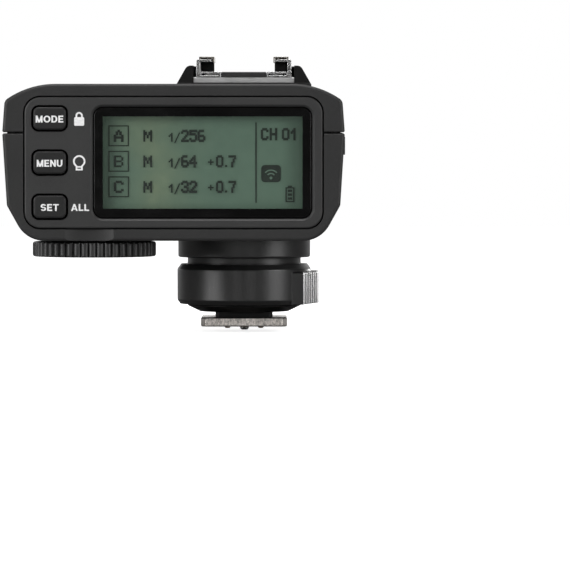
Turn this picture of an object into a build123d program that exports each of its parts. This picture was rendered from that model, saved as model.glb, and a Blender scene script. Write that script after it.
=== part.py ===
"""Wireless flash trigger: a camera-top radio transmitter with a pass-through hot shoe.

Units are millimetres. The origin is the centre of the mounting foot's underside, +Z is up, the
control panel faces -Y (towards the photographer) and the foot slides into a camera along +Y.
"""

from build123d import *
import os

os.makedirs("parts", exist_ok=True)

# ---------------------------------------------------------------- casing
WIDTH = 72.0
REAR_Y, FRONT_Y = -38.0, 32.0
BOTTOM_Z, SPLIT_Z, TOP_Z = 19.15, 41.85, 52.15
WALL = 1.6
BODY_X = -14.6  # the casing's middle sits to the left of the foot
RIGHT_X = BODY_X + WIDTH / 2
ROOF_HALF, SHOULDER_R, SHOULDER_ANGLE = 24.8, 18.0, 36.5
SIDE_HALF, SIDE_LOW_Z = WIDTH / 2 - 0.95, 26.6
BEVEL_HALF, BEVEL_Z, FLOOR_HALF = WIDTH / 2 - 3.4, 22.2, 27.2
SOFT_R, REAR_EDGE_R, NOSE_R, CORNER_R = 1.6, 0.7, 5.0, 8.0
NOSE_BACK, NOSE_LOW, NOSE_HIGH, ROOF_FRONT_Y = 7.0, 6.0, 9.5, 13.0
OVERSHOOT = 1.0  # how far a cutting solid runs past the surface it cuts
SEAM_GAP, SEAM_BEVEL = 0.24, 0.25
LIP_OUT, LIP_IN, LIP_HEIGHT, LIP_FIT = 0.9, 2.3, 1.0, 0.08
POST_R, POST_SPLIT_Z, POST_HOLE_R = 2.3, 25.5, 0.85
CASE_SCREW_XY = [(BODY_X + side * 26.5, y) for side in (-1, 1) for y in (-27.0, 24.5)]
CASE_SCREW_RECESS_R, CASE_SCREW_RECESS = 1.95, 1.5
SCREW_HEAD_R, SCREW_HEAD_T, SCREW_R, SCREW_DRIVE_R = 1.75, 0.7, 0.8, 0.8

# ---------------------------------------------------------------- control panel
PANEL_W, PANEL_H, PANEL_Z, PANEL_R, PANEL_T, PANEL_EDGE_R = 62.7, 27.6, 35.6, 3.4, 2.4, 0.4
PANEL_GAP, PANEL_FLANGE_T, PANEL_FLANGE = 0.25, 0.7, 0.8
WINDOW_X, WINDOW_W, WINDOW_H, WINDOW_R, WINDOW_T = BODY_X + 6.1, 46.1, 23.5, 2.1, 1.2
WINDOW_POCKET, WINDOW_FIT, WINDOW_BEVEL = 1.45, 0.15, 0.45
WINDOW_LEDGE_W, WINDOW_LEDGE_H = 43.6, 20.6
KEY_W, KEY_H, KEY_R, KEY_CROWN_R, KEY_GAP = 6.9, 4.75, 1.15, 0.45, 0.42
KEY_FLANGE, KEY_FLANGE_T, KEY_POST_R, KEY_POST = 0.8, 0.75, 1.2, 0.7
KEY_TRAVEL = 0.4
KEY_X, KEY_PITCH = BODY_X - 26.0, 9.28
PANEL_KEYS = {
    "mode_button": PANEL_Z + KEY_PITCH,
    "menu_button": PANEL_Z,
    "set_button": PANEL_Z - KEY_PITCH,
}
KEY_PROUD = 0.5

# ---------------------------------------------------------------- keys on the top
TRAY_DEPTH, TRAY_W, TRAY_L, TRAY_R = 0.7, 20.4, 27.6, 3.0
TOP_KEY_COLUMNS = (BODY_X - 18.0, BODY_X - 8.0)
TOP_KEY_ROWS = (-22.0, -12.5, -3.0)
TOP_KEYS = {
    "group_a_button": (TOP_KEY_COLUMNS[0], TOP_KEY_ROWS[0]),
    "group_b_button": (TOP_KEY_COLUMNS[1], TOP_KEY_ROWS[0]),
    "group_c_button": (TOP_KEY_COLUMNS[0], TOP_KEY_ROWS[1]),
    "group_d_button": (TOP_KEY_COLUMNS[1], TOP_KEY_ROWS[1]),
    "group_e_button": (TOP_KEY_COLUMNS[0], TOP_KEY_ROWS[2]),
    "test_button": (TOP_KEY_COLUMNS[1], TOP_KEY_ROWS[2]),
}
TOP_KEY_PROUD = 0.55

# ---------------------------------------------------------------- display and boards
BOARD_T = 1.2
LCD_W, LCD_H, LCD_FRONT_Y, LCD_T = 45.0, 22.4, REAR_Y + PANEL_T + 0.1, 2.0
BACKLIGHT_T, BACKLIGHT_STEP = 2.1, 0.6
MAIN_BOARD_W, MAIN_BOARD_H, MAIN_BOARD_Y = 59.0, 26.0, -31.2
RADIO_X, RADIO_W, RADIO_H, RADIO_CAN_W, RADIO_CAN_H, RADIO_CAN_T = BODY_X + 14, 17, 13, 13, 11, 1.9
TOP_BOARD_Z, TOP_BOARD_W, TOP_BOARD_L = 44.4, 22.0, 29.0
TACT_SIZE, TACT_T, TACT_PLUNGER_R = 4.5, 1.5, 1.1

# ---------------------------------------------------------------- selector dial
DIAL_X, DIAL_Y, DIAL_R, DIAL_BOTTOM_Z, DIAL_TOP_Z = BODY_X - 17.1, -24.0, 13.1, 15.6, 18.75
DIAL_RIDGES, DIAL_RIDGE_R, DIAL_EDGE_R = 48, 0.86, 0.5
DIAL_DISH_R, DIAL_DISH = 9.6, 0.5
DIAL_HUB_R, DIAL_HUB_FIT = 4.0, 0.2
ENCODER_SIZE, ENCODER_Z, ENCODER_T = 11.6, BOTTOM_Z + WALL + 0.05, 6.4
ENCODER_SHAFT_R, ENCODER_FIT, ENCODER_SHAFT = 2.9, 0.06, 4.0
SCOOP_X, SCOOP_R, SCOOP_DEPTH = DIAL_X - 0.6, 13.0, 1.05

# ---------------------------------------------------------------- accessory foot and quick lock
FOOT_W, FOOT_L, FOOT_T, FOOT_NECK_W, FOOT_NECK_L, FOOT_NECK_TOP = 18.6, 18.0, 2.0, 12.3, 16.6, 3.1
FOOT_CORNER, FOOT_EDGE = 1.0, 0.25
HOUSING_LOW_R, HOUSING_R, HOUSING_TOP_Z, HOUSING_RIM = 9.6, 12.2, 4.65, 0.3
CORE_R, CORE_BORE_R = 9.0, 5.2
NECK_R, NECK_Z = 12.25, 12.95
COLLAR_R, COLLAR_Z, COLLAR_EDGE_R = 14.3, 14.85, 0.4
COLLAR_SCREW_R, COLLAR_SCREW_ANGLE = 7.0, 45.0
RING_R, RING_FIT, RING_BOTTOM_Z, RING_TOP_Z = 14.5, 0.06, 4.75, 13.4
RING_TOP_R, RING_CONE_Z, RING_BEVEL_R, RING_BEVEL_Z = 13.7, 12.3, 13.9, 5.65
LEVER_TOP_Z, LEVER_ROOT, LEVER_HEEL, LEVER_TIP, LEVER_BACK = (
    11.8, (10.2, -10.2), (12.8, -9.7), (16.4, 4.9), (10.9, 9.4)
)
LEVER_TIP_R, LEVER_RIBS, LEVER_RIB_R, LEVER_EDGE_R = 1.6, 7, 0.42, 0.4
LOCK_PIN_Y, LOCK_PIN_R, LOCK_PIN_REACH, LOCK_PIN_TOP_Z = 6.6, 0.95, 1.2, 10.5
LOCK_LIFT, LOCK_TURN = 1.3, 60.0  # turning the ring this many degrees lifts the pin this far
FOLLOWER_R, FOLLOWER_Z, FOLLOWER_REACH, FOLLOWER_FIT = 0.75, 7.8, 10.2, 0.12
FOLLOWER_ANGLE = 90.0  # the follower points to +Y
CONTACT_CENTER_R, CONTACT_R, CONTACT_PROUD, CONTACT_FIT = 1.2, 0.65, 0.5, 0.06
CONTACT_SHOULDER, CONTACT_SHOULDER_Z, CONTACT_SHOULDER_T, CONTACT_TOP_Z = 0.3, 1.65, 0.6, 2.25
CONTACT_XY = {
    "center_contact_pin": (0.0, 0.0),
    "data_contact_pin_1": (-3.6, -2.8),
    "data_contact_pin_2": (3.6, -2.8),
    "data_contact_pin_3": (-3.6, 2.2),
    "data_contact_pin_4": (3.6, 2.2),
}
CONTACT_BLOCK_W, CONTACT_BLOCK_L, CONTACT_BLOCK_Y, CONTACT_BLOCK_FIT = 9.8, 8.0, -0.3, 0.05
FOOT_SCREW_XY = [(side * 4.3, y) for side in (-1, 1) for y in (-6.0, 6.0)]
FOOT_SCREW_HEAD_R, FOOT_SCREW_R, FOOT_SCREW_TOP_Z = 1.3, 0.7, 8.5

# ---------------------------------------------------------------- hot shoe on the roof
EAR_TOP_Z, EAR_TOP_X, EAR_BASE_X, EAR_ROUND = 56.2, 12.2, 14.5, 1.3
EAR_REAR_Y, EAR_FRONT_Y, EAR_FRONT_R = -11.5, 13.5, 2.0
STOP_GAP_W, STOP_GAP_Z = 13.2, 54.6  # the stop is open in the middle, above this height
STOP_TAB_W, STOP_TAB_T, STOP_TAB_Z, STOP_TAB_EDGE = 3.0, 1.3, 57.4, 0.3
BED_Z = TOP_Z + 0.4
SHOE_Y = (-11.2, 10.8)
SHOE_BASE_W, SHOE_BASE_T = 21.6, 1.15
SHOE_FIT = 0.05
RAIL_BOTTOM_Z = BED_Z + SHOE_BASE_T
RAIL_FLOOR_Z, RAIL_LIP_Z, RAIL_TOP_Z = 54.85, 57.05, 57.5
RAIL_INNER_X, RAIL_OUTER_X, RAIL_LIP_X, RAIL_HEM_X, RAIL_SHEET = 9.4, 10.2, 6.7, 4.95, 0.4
SPRING_TOP_Z, SPRING_T, SPRING_IN_X, SPRING_OUT_X, SPRING_DROP_Z = 58.1, 0.25, 6.35, 9.6, 56.9
SHOE_SCREW_XY = [(side * 7.1, y) for side in (-1, 1) for y in (-5.5, 6.0)]
SHOE_SCREW_HEAD_R, SHOE_SCREW_R, SHOE_BOSS_R, SHOE_BOSS = 1.2, 0.7, 1.9, 2.6
SHOE_BLOCK_W, SHOE_PAD_T = 9.7, 0.3

# ---------------------------------------------------------------- battery bay
CELL_R, CELL_LENGTH, CELL_NUB_R, CELL_NUB, CELL_EDGE_R = 7.2, 49.2, 2.75, 1.0, 0.6
CELL_Z, CELL_YS, CELL_LEFT_X = 31.3, (-1.0, 13.9), BODY_X - 31.3
HOLDER_Y, HOLDER_Z, HOLDER_RIGHT_X, HOLDER_BORE_FIT = (-9.4, 22.0), (22.2, 39.9), 7.2, 0.2
TERMINAL_T, TERMINAL_W, TERMINAL_DOME_R, TERMINAL_DOME = 0.4, 8.0, 2.4, 0.9
DOOR_Y, DOOR_TOP_Z, DOOR_GAP, DOOR_DEPTH = (-9.6, 22.5), 39.8, 0.2, 2.0
DOOR_PIN_X, DOOR_PIN_Z, DOOR_PIN_R, DOOR_PIN_FIT = BODY_X - 30.9, 22.0, 0.5, 0.06
DOOR_BARREL_R, DOOR_RELIEF_R, DOOR_PIN_SET = 1.2, 1.65, 1.6
DOOR_GRIP_R, DOOR_GRIP_DEPTH, DOOR_GRIP_W, DOOR_GRIP_Z = 7.0, 0.6, 14.0, 36.6

# ---------------------------------------------------------------- side controls and sockets
SWITCH_Z, SWITCH_W, SWITCH_H, SWITCH_TRAVEL, SWITCH_GAP, SWITCH_PROUD = 39.0, 3.6, 3.8, 3.0, 0.2, 0.5
SWITCH_YS = {"power_switch": -14.0, "lamp_switch": 3.0}
SWITCH_FLANGE, SWITCH_FLANGE_T, SWITCH_STEM_X = 0.6, 0.8, RIGHT_X - 4.2
SIDE_BOARD_X, SIDE_BOARD_Y, SIDE_BOARD_Z = 8.6, (-22.0, 12.0), (25.0, 43.2)
SWITCH_BODY_W, SWITCH_BODY_H = 9.0, 4.2
SOCKET_Z, SOCKET_X = 29.5, RIGHT_X - 2.9
USB_Y, USB_W, USB_H, USB_SHELL = -14.0, 8.94, 3.16, 0.3
USB_TONGUE_W, USB_TONGUE_H, USB_DEPTH = 6.4, 0.7, 6.5
JACK_Y, JACK_BORE_R, JACK_DEPTH, JACK_SLEEVE_R, JACK_FIT = 3.0, 1.3, 10.0, 2.5, 0.15
JACK_MOUTH_X, JACK_BODY_W, JACK_BODY_L = RIGHT_X - 0.9, 6.4, 8.4

# ---------------------------------------------------------------- focus-assist lamp
LAMP_W, LAMP_H, LAMP_Z, LAMP_R, LAMP_FIT, LAMP_FLANGE = 26.0, 9.6, 33.5, 2.4, 0.1, 0.8
LAMP_FLANGE_T, LAMP_LED_R, LAMP_LED_T = 0.7, 2.5, 3.0

SHEET = 4 * WIDTH  # a square larger than the casing, for cutting it across


def facing_rear(y):
    """A sketch plane at depth y: X stays X, its Y is up, and its normal is -Y."""
    return Plane.XZ.offset(-y)


def facing_right(x):
    """A sketch plane at x: its X is the casing's depth, its Y is up, and its normal is +X."""
    return Plane.YZ.offset(x)


def level(z):
    """A horizontal sketch plane at height z."""
    return Plane.XY.offset(z)


# ================================================================ casing form
with BuildSketch() as back_view:  # what the photographer sees: x across, z up
    with BuildLine():
        top = Line((BODY_X, TOP_Z), (BODY_X + ROOF_HALF, TOP_Z))
        shoulder = JernArc(top @ 1, (1, 0), radius=SHOULDER_R, arc_size=-SHOULDER_ANGLE)
        waist = Line(shoulder @ 1, (RIGHT_X, SPLIT_Z))
        side = Line(waist @ 1, (BODY_X + SIDE_HALF, SIDE_LOW_Z))
        bevel = Line(side @ 1, (BODY_X + BEVEL_HALF, BEVEL_Z))
        floor = Line((BODY_X, BOTTOM_Z), (BODY_X + FLOOR_HALF, BOTTOM_Z))
        corner = TangentArc(floor @ 1, bevel @ 1, tangent=(1, 0))
        mirror([top, shoulder, waist, side, bevel, floor, corner], about=facing_right(BODY_X))
    make_face()
    fillet(back_view.vertices().filter_by(lambda v: abs(v.X - BODY_X) > BEVEL_HALF + 1), radius=SOFT_R)

with BuildSketch() as side_view:  # y across, z up: the roof slopes down to the nose
    with BuildLine():
        Polyline(
            (REAR_Y - OVERSHOOT, BOTTOM_Z - OVERSHOOT),
            (FRONT_Y - NOSE_BACK, BOTTOM_Z - OVERSHOOT),
            (FRONT_Y, BOTTOM_Z + NOSE_LOW),
            (FRONT_Y, TOP_Z - NOSE_HIGH),
            (ROOF_FRONT_Y, TOP_Z + OVERSHOOT),
            (REAR_Y - OVERSHOOT, TOP_Z + OVERSHOOT),
            close=True,
        )
    make_face()
    fillet(side_view.vertices().filter_by(lambda v: v.X > 0), radius=NOSE_R)

with BuildSketch() as plan_view:  # x across, y up: rounded front corners
    with Locations((BODY_X, (REAR_Y - OVERSHOOT + FRONT_Y) / 2)):
        Rectangle(WIDTH + OVERSHOOT, FRONT_Y - REAR_Y + OVERSHOOT)
    fillet(plan_view.vertices().filter_by(lambda v: v.Y > 0), radius=CORNER_R)


def casing_block(inset):
    """The casing's outer form as a solid, shrunk by inset on every side."""
    with BuildPart() as block:
        with BuildSketch(facing_rear(FRONT_Y + OVERSHOOT)):
            add(back_view.sketch)
            if inset:
                offset(amount=-inset, kind=Kind.INTERSECTION)
        extrude(amount=FRONT_Y + OVERSHOOT - REAR_Y - inset)
        with BuildSketch(facing_right(BODY_X)):
            add(side_view.sketch)
            if inset:
                offset(amount=-inset, kind=Kind.INTERSECTION)
        extrude(amount=WIDTH, both=True, mode=Mode.INTERSECT)
        with BuildSketch(level(BOTTOM_Z - OVERSHOOT)):
            add(plan_view.sketch)
            if inset:
                offset(amount=-inset, kind=Kind.INTERSECTION)
        extrude(amount=TOP_Z, mode=Mode.INTERSECT)
    return block.part


with BuildPart() as skin:
    add(casing_block(0))
    fillet(skin.faces().sort_by(Axis.Y)[0].edges(), radius=REAR_EDGE_R)

with BuildPart() as cavity:
    add(casing_block(WALL))

with BuildPart() as liner:
    add(casing_block(WALL + DOOR_GAP))

with BuildPart() as shell:
    add(skin.part)
    add(cavity.part, mode=Mode.SUBTRACT)
    with BuildSketch(facing_rear(REAR_Y + WALL + OVERSHOOT)):
        with Locations((BODY_X, PANEL_Z)):
            RectangleRounded(PANEL_W + 2 * PANEL_GAP, PANEL_H + 2 * PANEL_GAP, PANEL_R + PANEL_GAP)
    extrude(amount=WALL + 2 * OVERSHOOT, mode=Mode.SUBTRACT)


def bevel_seam(builder, seam_z):
    """Bevel the outer edges of a casing half where it meets the other one."""
    at_seam = builder.edges().filter_by(lambda e: abs(e.center().Z - seam_z) < SEAM_GAP / 4)
    outer = at_seam.filter_by(lambda e: not liner.part.is_inside(e.center()))
    outer = outer.filter_by(lambda e: distance_to_skin(e.center()) < SEAM_GAP / 4)
    chamfer(outer, length=SEAM_BEVEL)


def distance_to_skin(point):
    """How far a point lies from the casing's outer surface."""
    return min(face.distance_to(Vertex(point)) for face in skin.part.faces())


def seam_band(fit):
    """The thin upstand inside the seam; fit widens it into the channel that it runs in."""
    with BuildPart() as band:
        add(casing_block(LIP_OUT - fit))
        add(casing_block(LIP_IN), mode=Mode.SUBTRACT)
        with BuildSketch(level(SPLIT_Z + LIP_HEIGHT + fit)):
            Rectangle(SHEET, SHEET)
        extrude(amount=TOP_Z, mode=Mode.SUBTRACT)
        with BuildSketch(level(SPLIT_Z - LIP_HEIGHT)):
            Rectangle(SHEET, SHEET)
        extrude(amount=-TOP_Z, mode=Mode.SUBTRACT)
        with BuildSketch(facing_rear(REAR_Y + LIP_IN + OVERSHOOT)):
            with Locations((BODY_X, SPLIT_Z)):
                Rectangle(WIDTH, PANEL_H)
        extrude(amount=LIP_IN + 2 * OVERSHOOT, mode=Mode.SUBTRACT)
    return band.part


# ================================================================ casing covers
with BuildPart() as top_posts:
    with BuildSketch(level(POST_SPLIT_Z + DOOR_GAP)):
        with Locations(*CASE_SCREW_XY):
            Circle(POST_R)
            Circle(POST_HOLE_R, mode=Mode.SUBTRACT)
    extrude(amount=TOP_Z - POST_SPLIT_Z)
    add(casing_block(WALL / 2), mode=Mode.INTERSECT)

with BuildPart() as top_cover:
    add(shell.part)
    with BuildSketch(level(SPLIT_Z + SEAM_GAP / 2)):
        Rectangle(SHEET, SHEET)
    extrude(amount=-WIDTH, mode=Mode.SUBTRACT)
    bevel_seam(top_cover, SPLIT_Z + SEAM_GAP / 2)
    add(seam_band(LIP_FIT), mode=Mode.SUBTRACT)
    # The ears flank the shoe, and their front part is its stop.
    with BuildSketch(facing_rear(EAR_FRONT_Y)) as ears:
        with BuildLine():
            Polyline(
                (-EAR_BASE_X, TOP_Z - WALL),
                (EAR_BASE_X, TOP_Z - WALL),
                (EAR_BASE_X, TOP_Z),
                (EAR_TOP_X, EAR_TOP_Z),
                (-EAR_TOP_X, EAR_TOP_Z),
                (-EAR_BASE_X, TOP_Z),
                close=True,
            )
        make_face()
        fillet(ears.vertices().group_by(Axis.Y)[-1], radius=EAR_ROUND)
    extrude(amount=EAR_FRONT_Y - EAR_REAR_Y)
    ear_top = top_cover.faces().sort_by(Axis.Z)[-1]
    fillet(ear_top.edges().sort_by(Axis.Y)[-1], radius=EAR_FRONT_R)
    with BuildSketch(level(BED_Z)):
        with Locations((0, (EAR_REAR_Y - OVERSHOOT + SHOE_Y[1] + SHOE_FIT) / 2)):
            Rectangle(SHOE_BASE_W + 2 * SHOE_FIT, SHOE_Y[1] + SHOE_FIT - EAR_REAR_Y + OVERSHOOT)
    extrude(amount=TOP_Z, mode=Mode.SUBTRACT)
    with BuildSketch(level(STOP_GAP_Z)):
        with Locations((0, EAR_FRONT_Y)):
            Rectangle(STOP_GAP_W, 2 * (EAR_FRONT_Y - SHOE_Y[1]))
    extrude(amount=EAR_TOP_Z - STOP_GAP_Z, mode=Mode.SUBTRACT)
    # A tab at the front end of each rail carries the stop up to the lips.
    with BuildSketch(level(STOP_GAP_Z)):
        for side in (-1, 1):
            with Locations((side * (STOP_GAP_W + STOP_TAB_W) / 2, SHOE_Y[1] + SHOE_FIT)):
                Rectangle(STOP_TAB_W, STOP_TAB_T, align=(Align.CENTER, Align.MIN))
    extrude(amount=STOP_TAB_Z - STOP_GAP_Z)
    chamfer(top_cover.faces().group_by(Axis.Z)[-1].edges(), length=STOP_TAB_EDGE)
    # Bosses and pilot holes for the shoe's screws.
    with BuildSketch(level(TOP_Z - WALL)):
        with Locations(*SHOE_SCREW_XY):
            Circle(SHOE_BOSS_R)
    extrude(amount=-SHOE_BOSS)
    with BuildSketch(level(BED_Z)):
        with Locations(*SHOE_SCREW_XY):
            Circle(SHOE_SCREW_R)
    extrude(amount=TOP_Z - WALL - SHOE_BOSS - BED_Z, mode=Mode.SUBTRACT)
    # The shallow tray of the top keys, and one opening for each key.
    with BuildSketch(level(TOP_Z - TRAY_DEPTH)):
        with Locations((sum(TOP_KEY_COLUMNS) / 2, TOP_KEY_ROWS[1])):
            RectangleRounded(TRAY_W, TRAY_L, TRAY_R)
    extrude(amount=TRAY_DEPTH, mode=Mode.SUBTRACT)
    with BuildSketch(level(TOP_Z - TRAY_DEPTH)):
        with Locations(*TOP_KEYS.values()):
            RectangleRounded(KEY_W + 2 * KEY_GAP, KEY_H + 2 * KEY_GAP, KEY_R + KEY_GAP)
    extrude(amount=-WALL, mode=Mode.SUBTRACT)
    add(top_posts.part)


def door_space(barrel_r, gap):
    """The space inside the battery door's outline, with the round end where it is hinged."""
    with BuildPart() as space:
        with BuildSketch(facing_rear(DOOR_Y[1] + gap)):
            with BuildLine():
                Polyline(
                    (BODY_X - WIDTH, DOOR_PIN_Z - gap),
                    (DOOR_PIN_X, DOOR_PIN_Z - gap),
                    (DOOR_PIN_X + DOOR_DEPTH, DOOR_TOP_Z + gap),
                    (BODY_X - WIDTH, DOOR_TOP_Z + gap),
                    close=True,
                )
            make_face()
            with Locations((DOOR_PIN_X, DOOR_PIN_Z)):
                Circle(barrel_r)
        extrude(amount=DOOR_Y[1] - DOOR_Y[0] + 2 * gap)
    return space.part


with BuildPart() as bottom_posts:
    with BuildSketch(level(BOTTOM_Z)):
        with Locations(*CASE_SCREW_XY):
            Circle(POST_R)
    extrude(amount=POST_SPLIT_Z - BOTTOM_Z)
    add(casing_block(WALL / 2), mode=Mode.INTERSECT)

with BuildPart() as bottom_cover:
    add(shell.part)
    with BuildSketch(level(SPLIT_Z - SEAM_GAP / 2)):
        Rectangle(SHEET, SHEET)
    extrude(amount=WIDTH, mode=Mode.SUBTRACT)
    bevel_seam(bottom_cover, SPLIT_Z - SEAM_GAP / 2)
    add(seam_band(0))
    add(bottom_posts.part)
    # A thumb scoop in the rear lip uncovers the dial's rim.
    with BuildSketch(level(BOTTOM_Z - OVERSHOOT)):
        with Locations((SCOOP_X, REAR_Y - SCOOP_R + SCOOP_DEPTH)):
            Circle(SCOOP_R)
    extrude(amount=PANEL_Z - PANEL_H / 2 - BOTTOM_Z + OVERSHOOT, mode=Mode.SUBTRACT)
    # Floor: the dial's hub, the cable way into the foot, and the screws of collar and casing.
    with BuildSketch(level(BOTTOM_Z)):
        with Locations((DIAL_X, DIAL_Y)):
            Circle(DIAL_HUB_R + DIAL_HUB_FIT)
        Circle(CORE_BORE_R)
        with PolarLocations(COLLAR_SCREW_R, 4, start_angle=COLLAR_SCREW_ANGLE):
            Circle(SCREW_R)
    extrude(amount=WALL, mode=Mode.SUBTRACT)
    with BuildSketch(level(BOTTOM_Z)):
        with Locations(*CASE_SCREW_XY):
            Circle(SCREW_R)
    extrude(amount=POST_SPLIT_Z - BOTTOM_Z, mode=Mode.SUBTRACT)
    with BuildSketch(level(BOTTOM_Z)):
        with Locations(*CASE_SCREW_XY):
            Circle(CASE_SCREW_RECESS_R)
    extrude(amount=CASE_SCREW_RECESS, mode=Mode.SUBTRACT)
    # Right wall: slots of the two slide switches, the charging port and the sync socket.
    with BuildSketch(facing_right(RIGHT_X - 2 * WALL)):
        for rest_y in SWITCH_YS.values():
            with Locations((rest_y + SWITCH_TRAVEL / 2, SWITCH_Z)):
                Rectangle(SWITCH_W + SWITCH_TRAVEL + 2 * SWITCH_GAP, SWITCH_H + 2 * SWITCH_GAP)
        with Locations((USB_Y, SOCKET_Z)):
            SlotOverall(USB_W + 2 * SWITCH_GAP, USB_H + 2 * SWITCH_GAP)
        with Locations((JACK_Y, SOCKET_Z)):
            Circle(JACK_SLEEVE_R + JACK_FIT)
    extrude(amount=3 * WALL, mode=Mode.SUBTRACT)
    # Nose: the lamp's window.
    with BuildSketch(facing_rear(FRONT_Y + OVERSHOOT)):
        with Locations((BODY_X, LAMP_Z)):
            RectangleRounded(LAMP_W + 2 * LAMP_FIT, LAMP_H + 2 * LAMP_FIT, LAMP_R + LAMP_FIT)
    extrude(amount=WALL + 2 * OVERSHOOT, mode=Mode.SUBTRACT)
    # Left wall: the battery door's opening, and the holes that its hinge pin is set in.
    add(door_space(DOOR_RELIEF_R, DOOR_GAP), mode=Mode.SUBTRACT)
    with BuildSketch(facing_rear(DOOR_Y[1] + DOOR_PIN_SET)):
        with Locations((DOOR_PIN_X, DOOR_PIN_Z)):
            Circle(DOOR_PIN_R)
    extrude(amount=DOOR_Y[1] - DOOR_Y[0] + 2 * DOOR_PIN_SET, mode=Mode.SUBTRACT)

with BuildPart() as battery_door:
    add(skin.part)
    add(cavity.part, mode=Mode.SUBTRACT)
    add(door_space(DOOR_BARREL_R, 0), mode=Mode.INTERSECT)
    with BuildSketch(facing_rear(DOOR_Y[1])):
        with Locations((DOOR_PIN_X, DOOR_PIN_Z)):
            Circle(DOOR_BARREL_R)
    extrude(amount=DOOR_Y[1] - DOOR_Y[0])
    with BuildSketch(facing_rear(DOOR_Y[1])):
        with Locations((DOOR_PIN_X, DOOR_PIN_Z)):
            Circle(DOOR_PIN_R + DOOR_PIN_FIT)
    extrude(amount=DOOR_Y[1] - DOOR_Y[0], mode=Mode.SUBTRACT)
    # A thumb groove near the upper edge, where the door is pulled open.
    door_wall_x = BODY_X - WIDTH / 2
    with BuildSketch(facing_rear(sum(DOOR_Y) / 2 + DOOR_GRIP_W / 2)):
        with Locations((door_wall_x - DOOR_GRIP_R + 2 * DOOR_GRIP_DEPTH, DOOR_GRIP_Z)):
            Circle(DOOR_GRIP_R)
    extrude(amount=DOOR_GRIP_W, mode=Mode.SUBTRACT)

with BuildPart() as battery_door_pin:
    with BuildSketch(facing_rear(DOOR_Y[1] + DOOR_PIN_SET)):
        with Locations((DOOR_PIN_X, DOOR_PIN_Z)):
            Circle(DOOR_PIN_R)
    extrude(amount=DOOR_Y[1] - DOOR_Y[0] + 2 * DOOR_PIN_SET)

# ================================================================ control panel
with BuildPart() as panel_flange:  # behind the casing's rear wall, so the panel can't fall out
    with BuildSketch(facing_rear(REAR_Y + PANEL_T)):
        with Locations((BODY_X, PANEL_Z)):
            RectangleRounded(PANEL_W + 2 * PANEL_FLANGE, PANEL_H + 2 * PANEL_FLANGE, PANEL_R)
    extrude(amount=PANEL_FLANGE_T)
    add(liner.part, mode=Mode.INTERSECT)

with BuildPart() as rear_panel:
    with BuildSketch(facing_rear(REAR_Y + PANEL_T)):
        with Locations((BODY_X, PANEL_Z)):
            RectangleRounded(PANEL_W, PANEL_H, PANEL_R)
    extrude(amount=PANEL_T)
    fillet(rear_panel.faces().sort_by(Axis.Y)[0].edges(), radius=PANEL_EDGE_R)
    add(panel_flange.part)
    with BuildSketch(facing_rear(REAR_Y + WINDOW_POCKET)):
        with Locations((WINDOW_X, PANEL_Z)):
            RectangleRounded(WINDOW_W, WINDOW_H, WINDOW_R)
    extrude(amount=WINDOW_POCKET, mode=Mode.SUBTRACT)
    window_rim = rear_panel.faces().sort_by(Axis.Y)[0].inner_wires()[0]
    chamfer(window_rim.edges(), length=WINDOW_BEVEL)
    with BuildSketch(facing_rear(REAR_Y + PANEL_T)):
        with Locations((WINDOW_X, PANEL_Z)):
            RectangleRounded(WINDOW_LEDGE_W, WINDOW_LEDGE_H, WINDOW_R)
        with Locations(*[(KEY_X, key_z) for key_z in PANEL_KEYS.values()]):
            RectangleRounded(KEY_W + 2 * KEY_GAP, KEY_H + 2 * KEY_GAP, KEY_R + KEY_GAP)
    extrude(amount=PANEL_T, mode=Mode.SUBTRACT)

with BuildPart() as display_window:
    with BuildSketch(facing_rear(REAR_Y + WINDOW_POCKET)):
        with Locations((WINDOW_X, PANEL_Z)):
            RectangleRounded(WINDOW_W - 2 * WINDOW_FIT, WINDOW_H - 2 * WINDOW_FIT, WINDOW_R - WINDOW_FIT)
    extrude(amount=WINDOW_T)
    chamfer(display_window.faces().sort_by(Axis.Y)[0].edges(), length=WINDOW_FIT)

with BuildPart() as lcd_glass:
    with BuildSketch(facing_rear(LCD_FRONT_Y + LCD_T)):
        with Locations((WINDOW_X, PANEL_Z)):
            Rectangle(LCD_W, LCD_H)
    extrude(amount=LCD_T)

with BuildPart() as display_backlight:
    with BuildSketch(facing_rear(LCD_FRONT_Y + LCD_T + BACKLIGHT_T)):
        with Locations((WINDOW_X, PANEL_Z)):
            Rectangle(LCD_W, LCD_H)
    extrude(amount=BACKLIGHT_T)
    front_face = display_backlight.faces().sort_by(Axis.Y)[0]
    chamfer(front_face.edges(), length=BACKLIGHT_STEP)

with BuildPart() as main_board:
    with BuildSketch(facing_rear(MAIN_BOARD_Y + BOARD_T)):
        with Locations((BODY_X, PANEL_Z)):
            RectangleRounded(MAIN_BOARD_W, MAIN_BOARD_H, WALL)
    extrude(amount=BOARD_T)

with BuildPart() as radio_module:
    with BuildSketch(facing_rear(MAIN_BOARD_Y + 2 * BOARD_T)):
        with Locations((RADIO_X, PANEL_Z)):
            Rectangle(RADIO_W, RADIO_H)
    extrude(amount=BOARD_T)
    with BuildSketch(facing_rear(MAIN_BOARD_Y + 2 * BOARD_T + RADIO_CAN_T)):
        with Locations((RADIO_X, PANEL_Z)):
            RectangleRounded(RADIO_CAN_W, RADIO_CAN_H, BOARD_T / 2)
    extrude(amount=RADIO_CAN_T)


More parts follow.
